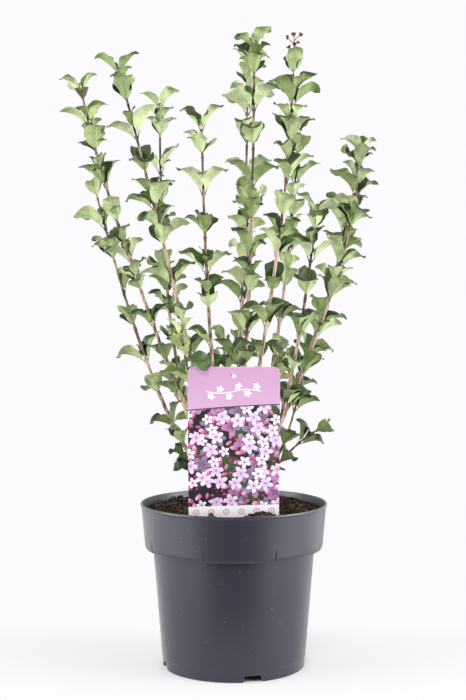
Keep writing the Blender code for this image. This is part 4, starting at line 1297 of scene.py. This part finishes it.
def within_reach(points, roots):
    """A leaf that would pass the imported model's box is drawn in towards its root until it fits."""
    low, high = np.array(cad_low) + BOX_CLEARANCE, np.array(cad_high) - BOX_CLEARANCE
    roots = roots[:, None, None]
    way = points - roots
    moving = np.abs(way) > TINY
    room = np.where(way > 0, high - roots, low - roots)
    share = np.where(moving, room / np.where(moving, way, 1.0), 1.0)
    share = np.minimum(1.0, share.min(axis=(1, 2, 3)))
    return roots + way * share[:, None, None, None]


def blade_pattern():
    """Faces of the upper side, then of the underside, and each face's part: blade or midrib, 0 to 3."""
    rows, columns = len(ROWS), len(COLUMNS)
    upper = np.arange(rows * columns).reshape(rows, columns)
    under = upper.copy()
    inner = np.arange((rows - 2) * (columns - 2)).reshape(rows - 2, columns - 2)
    under[1:-1, 1:-1] = rows * columns + inner
    top = np.stack([upper[:-1, :-1], upper[:-1, 1:], upper[1:, 1:], upper[1:, :-1]], axis=-1)
    low = np.stack([under[:-1, :-1], under[1:, :-1], under[1:, 1:], under[:-1, 1:]], axis=-1)
    strip = np.tile(np.arange(columns - 1) == columns // 2 - 1, rows - 1)
    return np.concatenate([top.reshape(-1, 4), low.reshape(-1, 4)]), np.concatenate([strip, strip + 2])


# %% Stalk
STALK_ROWS = np.array([0, 2, 4, 7, 11, 15, 19])
STALK_RADII = np.array([1.25, 1.3, 1.05, 0.62, 0.5, 0.47, 0.3]) * MM
FULL_LEAF = 34.0 * MM


def stalk_points(leaves, looks, sides=6):
    """A tapering tube along the first part of the midrib, swollen to a nub where it leaves the stem."""
    _, place, side, upper = midribs(leaves, looks)
    scale = np.clip(leaves.length / FULL_LEAF, 0.35, 1.1)
    radius = STALK_RADII[None, :, None, None] * scale[:, None, None, None]
    turns = np.arange(sides) * 2 * math.pi / sides
    ring = side[:, None, None] * np.cos(turns)[None, None, :, None]
    ring = ring + upper[:, STALK_ROWS, None] * np.sin(turns)[None, None, :, None]
    return place[:, STALK_ROWS, None] + ring * radius


# %% [markdown]
# ## Leaf colours
#
# The underside is a dull grey-green with paler veins, the upper side a dark glossy green with sunken
# ones. Young growth is yellower, and the leaves near the ground are deeper. Each pair of leaves gets
# one tone, and the nodes add veins, a faint mottling and a puckered relief to it. Veins follow the
# leaf's own map: they leave the midrib slantwise at even steps.

# %% Leaf finishes
TONES = {
    "mid": ((0.360, 0.440, 0.198), (0.034, 0.068, 0.012)),
    "soft": ((0.410, 0.482, 0.250), (0.052, 0.092, 0.021)),
    "deep": ((0.200, 0.275, 0.094), (0.020, 0.043, 0.008)),
    "fresh": ((0.400, 0.470, 0.185), (0.105, 0.160, 0.038)),
    "young": ((0.480, 0.550, 0.260), (0.310, 0.380, 0.150)),
}
TONE_NAMES = list(TONES)
PUCKER_DEPTH = 0.9 * MM


def veined(name, colour, vein, roughness, strength, depth, gloss):
    """Leaf skin: slanting veins from the map, over a mottled plain colour."""
    finish = Finish(name, colour, roughness, Specular_IOR_Level=gloss)
    u, v = finish.chart()
    off = abs(u * 2.0 - 1.0)
    near = abs(finish.math("FRACT", v * 7.5 - off * 2.3) - 0.5)
    line = finish.ramp(near, 0.13, 0.02) * finish.ramp(off, 1.0, 0.55)
    dull = tuple(c * 0.80 for c in colour)
    bright = tuple(min(1.0, c * 1.16) for c in colour)
    skin = finish.mix(finish.ramp(finish.noise(130.0, 2.0), 0.3, 0.7), dull, bright)
    finish.colour(finish.mix(line * strength, skin, vein))
    finish.relief(line * (depth / PUCKER_DEPTH) + finish.noise(170.0, 1.5), PUCKER_DEPTH, 0.55)
    return finish.material


def leaf_finishes():
    """For each tone: upper side, upper midrib, underside, under midrib."""
    made = []
    for name, (under, upper) in TONES.items():
        pale = tuple(min(1.0, c * 1.25 + 0.06) for c in under)
        line = tuple(min(1.0, c * 1.9 + 0.02) for c in upper)
        made.append(veined("upper_" + name, upper, line, 0.36, 0.30, -0.15 * MM, 0.36))
        made.append(Finish("upper_rib_" + name, line, 0.4).material)
        made.append(veined("under_" + name, under, pale, 0.44, 0.30, 0.16 * MM, 0.46))
        made.append(Finish("under_rib_" + name, pale, 0.5).material)
    return made


LEAF_FINISHES = leaf_finishes()
BLADE_FACES, BLADE_PARTS = blade_pattern()
print(len(LEAF_FINISHES), "leaf finishes,", len(BLADE_FACES), "faces to a blade")

# %% [markdown]
# ## Finer growth
#
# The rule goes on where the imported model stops. Each tip, save the one that has flowered, carries a
# tiny half-open pair, many crooks between a stalk and the stem hold a small leaf, and about half of the
# long gaps high up have a pair of their own. One leaf of the young shoot in front lies over the card's
# top edge.

# %% Growing one shoot's foliage
BUD_LEAF = 8.5 * MM
BUD_DROP = 0.5 * MM
OVER_CARD = (22.0, -60.0, 33.0, 36.0, 16.0, 60.0, 10.0)
AXIL_SHARE = 0.62
LOW_AXIL_SHARE = 0.25
BETWEEN_GAP = 22.0 * MM
BETWEEN_SHARE = 0.52
BETWEEN_LOWEST = 0.37
BETWEEN_PLACE = (0.38, 0.55)
BETWEEN_LENGTH = (0.66, 0.92)
BETWEEN_TURN = (0.5, 1.1)
BETWEEN_TURN_SPREAD = 0.15
BUD_TURN_SPREAD = 0.3
BUD_LENGTH = (0.8, 1.3)
AXIL_RISE = (3.0, 8.0)
AXIL_LENGTH = (0.42, 0.82)
AXIL_TURN = (0.5, 1.5)
CROOK_ANGLES = ((36, 60), (68, 82), (30, 65), (-28, 28))
TIP_ANGLES = ((48, 66), (78, 86), (10, 35), (-20, 20))
OVER_TOP_RISE = 3.0 * MM
RIB_THICKER = 1.9
YOUNG_SHOOTS = ("young_front",)
TOP_TONES = {
    "young_front": ("young", 2),
    "tall_left": ("fresh", 3),
    "tall_front_left": ("deep", 2),
    "mid_left": ("mid", 2),
    "front_centre": ("mid", 2),
    "tallest_centre": ("deep", 2),
    "flowering_right": ("deep", 2),
    "back_centre": ("mid", 2),
}
DEEP_SHOOTS = ("low_", "short_")
DEEP_HIGH, DEEP_LOW = 0.18, 0.50
SOFT_SHARE = 0.40
YOUNG_SHARES = (0.1, 0.1, 0.0, 0.4, 0.4)
LOW_SHARES = (0.2, 0.0, 0.8, 0.0, 0.0)


def leaf_row(distance, turn, length, share, pair, draw, spreads=CROOK_ANGLES):
    """One leaf's numbers, with its four angles drawn."""
    angles = [draw.uniform(*spread) for spread in spreads]
    return (distance, turn, length, length * share, *np.radians(angles), pair)


def fine_leaves(shoot, line, leaves, places, draw):
    """Rows for the tip's little pair, for small leaves in the crooks and for pairs in the long gaps."""
    rows = []
    if shoot.name != "flowering_right":
        for opposite in (0.0, math.pi):
            turn = math.radians(shoot.turn + PAIR_TURN) + opposite + draw.normal(0, BUD_TURN_SPREAD)
            length = BUD_LEAF * draw.uniform(*BUD_LENGTH)
            rows.append(leaf_row(line[1][-1] - BUD_DROP, turn, length, 0.34, 0, draw, TIP_ANGLES))
    first = unit(np.array([1.0, 0.0, 0.0]) - leaves.up * leaves.up[:, :1])
    turns = np.arctan2((leaves.out * np.cross(leaves.up, first)).sum(1), (leaves.out * first).sum(1))
    share = LOW_AXIL_SHARE if shoot.ring == "low" else AXIL_SHARE
    for k in range(len(leaves.length)):
        if leaves.pair[k] < 1 or draw.random() > share:
            continue
        length = leaves.length[k] * draw.uniform(*AXIL_LENGTH)
        turn = turns[k] + draw.choice((-1, 1)) * draw.uniform(*AXIL_TURN)
        distance = min(leaves.distance[k] + draw.uniform(*AXIL_RISE) * MM, line[1][-1])
        rows.append(leaf_row(distance, turn, length, 0.37, leaves.pair[k], draw))
    for k in range(1, len(places)):
        gap = places[k - 1] - places[k]
        distance = places[k] + gap * draw.uniform(*BETWEEN_PLACE)
        high = along(line, [distance])[0][0, 2] > BETWEEN_LOWEST
        if gap < BETWEEN_GAP or not high or draw.random() > BETWEEN_SHARE:
            continue
        facing = math.radians(shoot.turn + PAIR_TURN * k)
        facing += draw.uniform(*BETWEEN_TURN) * draw.choice((-1, 1))
        for opposite in (0.0, math.pi):
            length = shoot.leaf * MM * draw.uniform(*BETWEEN_LENGTH)
            turn = facing + opposite + draw.normal(0, BETWEEN_TURN_SPREAD)
            rows.append(leaf_row(distance, turn, length, 0.39, k, draw))
    if shoot.name in YOUNG_SHOOTS:
        drop, turn, length, *angles = OVER_CARD
        distance, length = line[1][-1] - drop * MM, length * MM
        rows.append((distance, math.radians(turn), length, length * 0.37, *np.radians(angles), 1))
    return Leaves(shoot, line, np.array(rows))


def tones_of(shoot, leaves, length, draw):
    """One tone for each pair, drawn by the tones' shares: deeper towards the ground, fresher when young."""
    pairs = int(leaves.pair.max()) + 1
    height = np.ones(pairs)
    height[leaves.pair.astype(int)] = leaves.distance / length
    if shoot.name in YOUNG_SHOOTS:
        shares = np.tile(YOUNG_SHARES, (pairs, 1))
    elif shoot.name.startswith(DEEP_SHOOTS):
        shares = np.tile(LOW_SHARES, (pairs, 1))
    else:
        deep = DEEP_HIGH + (DEEP_LOW - DEEP_HIGH) * smooth_step((0.95 - height) / 0.6)
        soft = (1 - deep) * SOFT_SHARE
        none = np.zeros(pairs)
        shares = np.stack([1 - deep - soft, soft, deep, none, none], axis=1)
    by_pair = (draw.random((pairs, 1)) > np.cumsum(shares, axis=1)).sum(axis=1).clip(0, len(TONES) - 1)
    if shoot.name in TOP_TONES:
        tone, count = TOP_TONES[shoot.name]
        by_pair[:count] = TONE_NAMES.index(tone)
    return by_pair[leaves.pair.astype(int)]


def add_blades(heap, leaves, tones, seed):
    """Blades into the heap. The underside is the upper one less its own normal times the thickness."""
    points, above = blade_points(leaves, looks_of(len(leaves.length), seed))
    rooted_behind = (leaves.root - CARD_FOOT) @ CARD_BEHIND > 0
    over_top = (leaves.root - CARD_FOOT) @ CARD_UP > CARD_LENGTH + OVER_TOP_RISE
    over_top &= (points[:, 2 * len(ROWS) // 3].mean(axis=1) - CARD_FOOT) @ CARD_BEHIND < 0
    points = clear_of_card(points, rooted_behind & ~over_top)
    points = within_reach(points, leaves.root)
    inner = points[:, 1:-1, 1:-1]
    rib = np.where(np.abs(COLUMNS[1:-1]) < 0.1, RIB_THICKER, 1.0) * BLADE_THICKNESS
    scale = np.clip(leaves.length / FULL_LEAF, 0.3, 1.0)
    lower = inner - above[:, 1:-1, None] * (rib[None, None, :, None] * scale[:, None, None, None])
    count = len(points)
    both = np.concatenate([points.reshape(count, -1, 3), lower.reshape(count, -1, 3)], axis=1)
    chart = np.stack(np.meshgrid((COLUMNS + 1) / 2, ROWS / FINE), axis=-1)
    chart = np.concatenate([chart.reshape(-1, 2), chart[1:-1, 1:-1].reshape(-1, 2)])
    finishes = tones[:, None] * 4 + BLADE_PARTS[None]
    heap.add_copies(both, BLADE_FACES, finishes, np.broadcast_to(chart, (count, *chart.shape)))


# %% [markdown]
# ## Stems
#
# A stem is a tube along its shoot's line. It thickens where each pair of stalks leaves it, and its skin
# is tan with dark streaks: smooth in the main, with low ridges that show on the lower limbs. The stems
# run on unbroken from the stool to the tip, so each stands for a limb and for the twig above it.

# %% Bark and stems
STEM_SIDES = 10
LIMB_STEP = 1.6 * MM
TWIG_STEP = 2.8 * MM
NODE_LENGTH = 2.2 * MM
NODE_SWELL = 0.28
RIDGE_FADE = 60.0 * MM
TWIG_FROM = 0.62
BLADE_SEED = 300
FINE_SEED = 500
TONE_SEED = 700


def bark_finish(name, dark, tan, share, rough=0.7):
    """Streaks drawn out along the height, dark in places and tan in others, with small pale pores."""
    finish = Finish(name, tan, rough, Specular_IOR_Level=0.3)
    streak = finish.noise(1.0, 4.0, stretch=(420.0, 420.0, 55.0), roughness=0.6)
    patch = finish.noise(28.0, 2.0)
    skin = finish.mix(finish.ramp(streak * 0.65 + patch * 0.35, share - 0.09, share + 0.09), dark, tan)
    pores = finish.ramp(finish.noise(1.0, 1.0, stretch=(900.0, 900.0, 350.0)), 0.66, 0.74)
    finish.colour(finish.mix(pores * 0.5, skin, (0.50, 0.38, 0.27)))
    finish.relief(streak, 0.5 * MM, 0.8)
    return finish.material


BARK = bark_finish("bark", (0.060, 0.040, 0.029), (0.470, 0.350, 0.265), 0.48)
TWIG_BARK = bark_finish("twig_bark", (0.045, 0.030, 0.021), (0.360, 0.265, 0.185), 0.54)
STALK_RED = bark_finish("stalk_red", (0.130, 0.040, 0.028), (0.330, 0.175, 0.110), 0.50, 0.5)
NUB_RED = bark_finish("nub_red", (0.060, 0.012, 0.010), (0.180, 0.050, 0.035), 0.55, 0.45)


def stem_stations(length, limb_end):
    """Closer steps along the limb, where the bark has relief, than along the twig."""
    limb = np.arange(-STUB_SUNK, limb_end, LIMB_STEP)
    steps = max(2, math.ceil((length - limb_end) / TWIG_STEP))
    return np.concatenate([limb, np.linspace(limb_end, length, steps + 1)])


def make_stem(shoot, line, leaves, places, number):
    """Stem, stalks and nubs of one shoot, in one piece."""
    length = line[1][-1]
    limb_end = STUB_LENGTH + RINGS[shoot.ring].limb
    stations = stem_stations(length, limb_end)
    spots, directions = along(line, stations)
    radii = radius_at(shoot, line, stations)
    nodes = np.exp(-(((stations[:, None] - np.array(places)) / NODE_LENGTH) ** 2)).sum(axis=1)
    radii = radii * (1 + NODE_SWELL * nodes) * np.where(stations > length - 0.1 * MM, 0.5, 1.0)
    turns = np.arange(STEM_SIDES) * 2 * math.pi / STEM_SIDES
    rough = 0.066 + 0.11 * smooth_step((limb_end + RIDGE_FADE - stations) / RIDGE_FADE)
    swell = 1 + rough[:, None] * ripple(turns[None], stations[:, None], number, length=12 * MM)
    heap = Heap()
    points = tube_points(spots, directions, radii, STEM_SIDES, swell)
    faces = tube_faces(len(stations), STEM_SIDES)
    young = np.repeat(stations[:-1] > TWIG_FROM * length, STEM_SIDES).astype(int)
    heap.add(points, faces, np.concatenate([young, [0, 1]]))
    stalks = stalk_points(leaves, looks_of(len(leaves.length), BLADE_SEED + number))
    count, rows, sides = stalks.shape[:3]
    pattern = grid_faces(rows, sides, closed=True)
    red = np.where(np.repeat(np.arange(rows - 1) < 2, sides), 3, 2)
    heap.add_copies(stalks, pattern, np.tile(red, (count, 1)), np.zeros((count, rows * sides, 2)))
    replaced = ["shoot_" + shoot.name] + (["limb_" + shoot.name] if RINGS[shoot.ring].limb else [])
    return heap.piece("stem_" + shoot.name, [BARK, TWIG_BARK, STALK_RED, NUB_RED], replaced)


def make_foliage(shoot, line, leaves, places, number):
    """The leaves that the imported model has, then the finer growth, in one piece."""
    draw = np.random.default_rng(TONE_SEED + number)
    heap = Heap()
    add_blades(heap, leaves, tones_of(shoot, leaves, line[1][-1], draw), BLADE_SEED + number)
    extra = fine_leaves(shoot, line, leaves, places, draw)
    tones = tones_of(shoot, extra, line[1][-1], draw)
    tones[extra.distance == line[1][-1] - BUD_DROP] = TONE_NAMES.index("fresh")
    if shoot.name in YOUNG_SHOOTS:
        tones[-1] = TONE_NAMES.index("soft")
    add_blades(heap, extra, tones, FINE_SEED + number)
    return heap.piece("leaves_" + shoot.name, LEAF_FINISHES, ["shoot_" + shoot.name], sharp=75.0)


for number, shoot in enumerate(SHOOTS):
    growth = (shoot, lines[shoot.name], *bushes[shoot.name], number)
    make_stem(*growth)
    make_foliage(*growth)

# %% [markdown]
# ## The stool
#
# All shoots rise from one low woody stump. It is a turned shape whose radius swells in five lobes, and
# whose bark is furrowed: the ripple adds ridges that run up it.

# %% Stool
STOOL_HEIGHT = 17.0 * MM
STOOL_FLARE = 18.0 * MM
STOOL_NECK = 14.5 * MM
STOOL_RINGS = 22
STOOL_SIDES = 72
STOOL_SEED = 9


def make_stool():
    """Radius over height: flared at the ground, a neck above, and a crown that closes over."""
    levels = np.array([0.0, 0.25, 0.7, 1.0]) * STOOL_HEIGHT
    widths = np.array([STOOL_FLARE, STOOL_FLARE - 2 * MM, STOOL_NECK, STOOL_NECK * 0.62])
    crown = STOOL_HEIGHT + np.array([0.8, 1.3, 1.5]) * MM
    heights = np.concatenate([np.linspace(0, STOOL_HEIGHT, STOOL_RINGS), crown])
    radii = np.interp(heights, levels, widths) * np.concatenate([np.ones(STOOL_RINGS), [0.7, 0.35, 0.02]])
    turns = np.arange(STOOL_SIDES) * 2 * math.pi / STOOL_SIDES
    furrows = ripple(turns[None], heights[:, None], STOOL_SEED, waves=14, finest=19, length=30 * MM)
    radius = radii[:, None] * (1 + 0.1 * np.cos(5 * turns)[None] + 0.1 * furrows)
    flat = np.broadcast_to(heights[:, None] + GAP, radius.shape)
    points = np.stack([radius * np.cos(turns), radius * np.sin(turns), flat], axis=-1) + SOIL_LINE
    heap = Heap()
    heap.add(points, tube_faces(len(heights), STOOL_SIDES), 0)
    return heap.piece("stool_bark", [BARK], ["stool"])


make_stool()

# %% [markdown]
# ## The spent flower truss
#
# One shoot ends in last season's truss, dry and red-brown: a stalk with short arms, each arm with a
# cluster of small dried buds. Arms and buds are placed by a turn of 2.4 radians each, the angle by
# which seeds fill a sunflower.

# %% Truss
TRUSS_LENGTH = 37.0 * MM
TRUSS_ARMS = 7
BEADS = 6
TRUSS_ARM = 7.6 * MM
SEED_TURN = 2.4
TRUSS_SEED = 77


def ball_grid(rows=5, columns=7):
    """Points of a ball from south to north, and its faces with closed ends."""
    lift = np.linspace(-0.47, 0.47, rows) * math.pi
    turns = np.arange(columns) * 2 * math.pi / columns
    x, y = np.cos(lift)[:, None] * np.cos(turns), np.cos(lift)[:, None] * np.sin(turns)
    z = np.broadcast_to(np.sin(lift)[:, None], x.shape)
    return np.stack([x, y, z], axis=-1), tube_faces(rows, columns)


def make_truss():
    """A stalk that goes on from the shoot's tip, with short arms and a cluster of dried buds on each."""
    line = lines["flowering_right"]
    tip, direction = (v[0] for v in along(line, np.array([line[1][-1]])))
    draw = np.random.default_rng(TRUSS_SEED)
    heap = Heap()
    ball, ball_faces = ball_grid()

    def rod(start, end, first, last, finish, bow=0.0):
        """A thin tapering tube from start to end, bowed a little aside."""
        share = np.linspace(0, 1, 7)[:, None]
        spots = start + (end - start) * share + np.array([bow, 0.0, 0.0]) * np.sin(math.pi * share)
        ways = unit(np.gradient(spots, axis=0))
        radii = first + (last - first) * share[:, 0]
        heap.add(tube_points(spots, ways, radii, 6), tube_faces(7, 6), finish)

    def bead(centre, radius):
        """One dried bud: a ball of uneven girth."""
        heap.add(centre + ball * radius * draw.uniform(0.8, 1.25, 3), ball_faces, 2)

    top = tip + direction * TRUSS_LENGTH
    rod(tip - direction * 4 * MM, top, 0.85 * MM, 0.5 * MM, 0)
    turns = SEED_TURN * np.arange(TRUSS_ARMS)
    shares = np.linspace(0.5, 0.93, TRUSS_ARMS)
    aside = across(np.tile(direction, (TRUSS_ARMS, 1)), turns)
    for k in range(TRUSS_ARMS + 1):
        if k < TRUSS_ARMS:
            foot = tip + direction * TRUSS_LENGTH * shares[k]
            way = unit(aside[k] + direction * 0.8)
            end = foot + way * TRUSS_ARM * draw.uniform(0.7, 1.0)
            rod(foot, end, 0.5 * MM, 0.38 * MM, 1, draw.uniform(-0.5, 0.5) * MM)
        else:
            way, end = direction, top
        ring = across(np.tile(way, (BEADS, 1)), SEED_TURN * np.arange(BEADS))
        for j in range(BEADS):
            spread = unit(ring[j] * (0.35 + 0.14 * j) + way)
            spot = end + spread * draw.uniform(0.6, 3.0) * MM
            rod(end - way * 0.4 * MM, spot, 0.3 * MM, 0.25 * MM, 1)
            bead(spot, draw.uniform(0.75, 1.15) * MM)
    finishes = [
        bark_finish("truss_stalk", (0.150, 0.075, 0.050), (0.380, 0.290, 0.170), 0.48, 0.6),
        bark_finish("truss_arm", (0.060, 0.020, 0.016), (0.200, 0.085, 0.060), 0.50, 0.6),
        bark_finish("dried_bud", (0.045, 0.012, 0.012), (0.170, 0.055, 0.045), 0.52, 0.6),
    ]
    return heap.piece("spent_truss", finishes, ["shoot_flowering_right"])


make_truss()

# %% [markdown]
# ## Floor, light and air
#
# The object stands on a pale floor in soft studio light. The floor also glows of itself, just over half
# glow round the pot and all glow towards its edges: a painted light that pales the shadows cast on it,
# save close round the pot. Two wide lamps light it from the sides, the right-hand one a little
# stronger, a small one looks down from high in front, and a pale surround lights everything else. The
# surround is brighter at the sides and dimmer on the camera's side, which leaves the middle of the dark
# pot dark and its flanks bright. What the camera itself sees of the surround is one even pale tone.

# %% Floor
BACKDROP = (0.970, 0.965, 0.995)
BACK_FADE = (0.09, 0.17, 0.56, 1.0)
FRONT_FADE = (-0.13, -0.175, 0.56, 1.0)
ASIDE_FADE = (0.27, 0.40)
POT_SHADE = (0.062, 0.085)
FLOOR_FRONT = -0.18
FLOOR_BACK = 0.45
FLOOR_SIDE = 0.42


def floor_finish():
    """Pale cloudy paint under a painted glow: just over half glow round the pot, which pales the shadows
    cast there, all glow at the edges, and none in the pot's shade.
    """
    finish = Finish("floor_paint", (0.635, 0.63, 0.635), 0.85)
    finish.colour(finish.mix(finish.noise(2.5, 2.0), (0.620, 0.615, 0.620), (0.650, 0.645, 0.650)))
    spot = finish.place()
    aside, depth = finish.values(finish.node("SeparateXYZ", Vector=spot))[:2]
    # Painted light: the glow's share never falls below 0.56 away from the pot's shade, which pales the
    # shadows cast on the floor. It rises to 1 at the edges.
    glow_share = finish.math("MAXIMUM", finish.ramp(depth, *BACK_FADE), finish.ramp(depth, *FRONT_FADE))
    glow_share = finish.math("MAXIMUM", glow_share, finish.ramp(abs(aside), *ASIDE_FADE))
    from_axis = finish.node("VectorMath", {"operation": "DISTANCE"})
    finish.put(from_axis.inputs[0], spot)
    finish.put(from_axis.inputs[1], tuple(AXIS))
    glow_share = glow_share * finish.ramp(from_axis.outputs["Value"], *POT_SHADE)
    glow = finish.node("Emission", Color=BACKDROP, Strength=1.0)
    blend = finish.node("MixShader", Fac=glow_share)
    finish.put(blend.inputs[1], finish.shader.outputs[0])
    finish.put(blend.inputs[2], glow.outputs[0])
    finish.put(finish.tree.nodes["Material Output"].inputs["Surface"], blend.outputs[0])
    return finish.material


def make_floor():
    """A sheet just under the pot. Towards its edges it glows like the air behind, so they don't show."""
    x = np.linspace(-FLOOR_SIDE, FLOOR_SIDE, 13)
    y = np.linspace(FLOOR_FRONT, FLOOR_BACK, 10)
    wide, deep = np.meshgrid(x, y)
    points = np.stack([wide, deep, np.full_like(wide, -0.2 * MM)], axis=-1)
    mesh = bpy.data.meshes.new("floor")
    mesh.from_pydata(points.reshape(-1, 3).tolist(), [], grid_faces(len(y), len(x)).tolist())
    floor = bpy.data.objects.new("floor", mesh)
    bpy.context.scene.collection.objects.link(floor)
    mesh.materials.append(floor_finish())
    return floor


floor = make_floor()
print("floor of", len(floor.data.polygons), "faces")

# %% Light
PLANT_MIDDLE = np.array([0.0, 0.0, 0.34])
DIM_FRONT = (-0.86, -0.50, 0.39, 1.0)
SIDE_PANELS = (0.42, 0.75, 0.66, 1.95)


def soft_light(name, place, size, power, colour=(1.0, 1.0, 1.0)):
    """A square lamp that looks at the plant's middle."""
    lamp = bpy.data.lights.new(name, "AREA")
    lamp.size, lamp.energy, lamp.color = size, power, colour
    thing = bpy.data.objects.new(name, lamp)
    bpy.context.scene.collection.objects.link(thing)
    back = unit(np.array(place) - PLANT_MIDDLE)
    level = unit(np.cross([0.0, 0.0, 1.0], back))
    axes = Matrix(np.stack([level, np.cross(back, level), back], axis=1))
    thing.matrix_world = Matrix.LocRotScale(Vector(place), axes, None)
    return thing


soft_light("key", (1.65, -0.50, 0.52), 1.1, 35.0)
soft_light("fill", (-1.65, -0.50, 0.48), 1.1, 26.0)
soft_light("front", (-0.25, -1.55, 1.45), 0.5, 16.0)

# %% Air
world = bpy.data.worlds.new("surround")
bpy.context.scene.world = world
world.use_nodes = True
air = Nodes(world.node_tree)
heading = air.values(air.node("SeparateXYZ", Vector=air.node("TexCoord").outputs["Generated"]))
sides = air.ramp(abs(heading[0]), *SIDE_PANELS)
front = air.ramp(heading[1], *DIM_FRONT)
room = air.node("Background", Color=(0.99, 0.985, 1.0), Strength=sides * front)
backdrop = air.tree.nodes["Background"]
air.put(backdrop.inputs["Color"], BACKDROP)
air.put(backdrop.inputs["Strength"], 1.0)
choose = air.node("MixShader", Fac=air.node("LightPath").outputs["Is Camera Ray"])
air.put(choose.inputs[1], room.outputs[0])
air.put(choose.inputs[2], backdrop.outputs[0])
air.put(air.tree.nodes["World Output"].inputs["Surface"], choose.outputs[0])
bpy.context.scene.view_settings.view_transform = "Standard"
print("surround of", len(air.tree.nodes), "nodes")

# %% [markdown]
# ## Last: the size, and done
#
# The dressed plant has to keep the imported model's size.
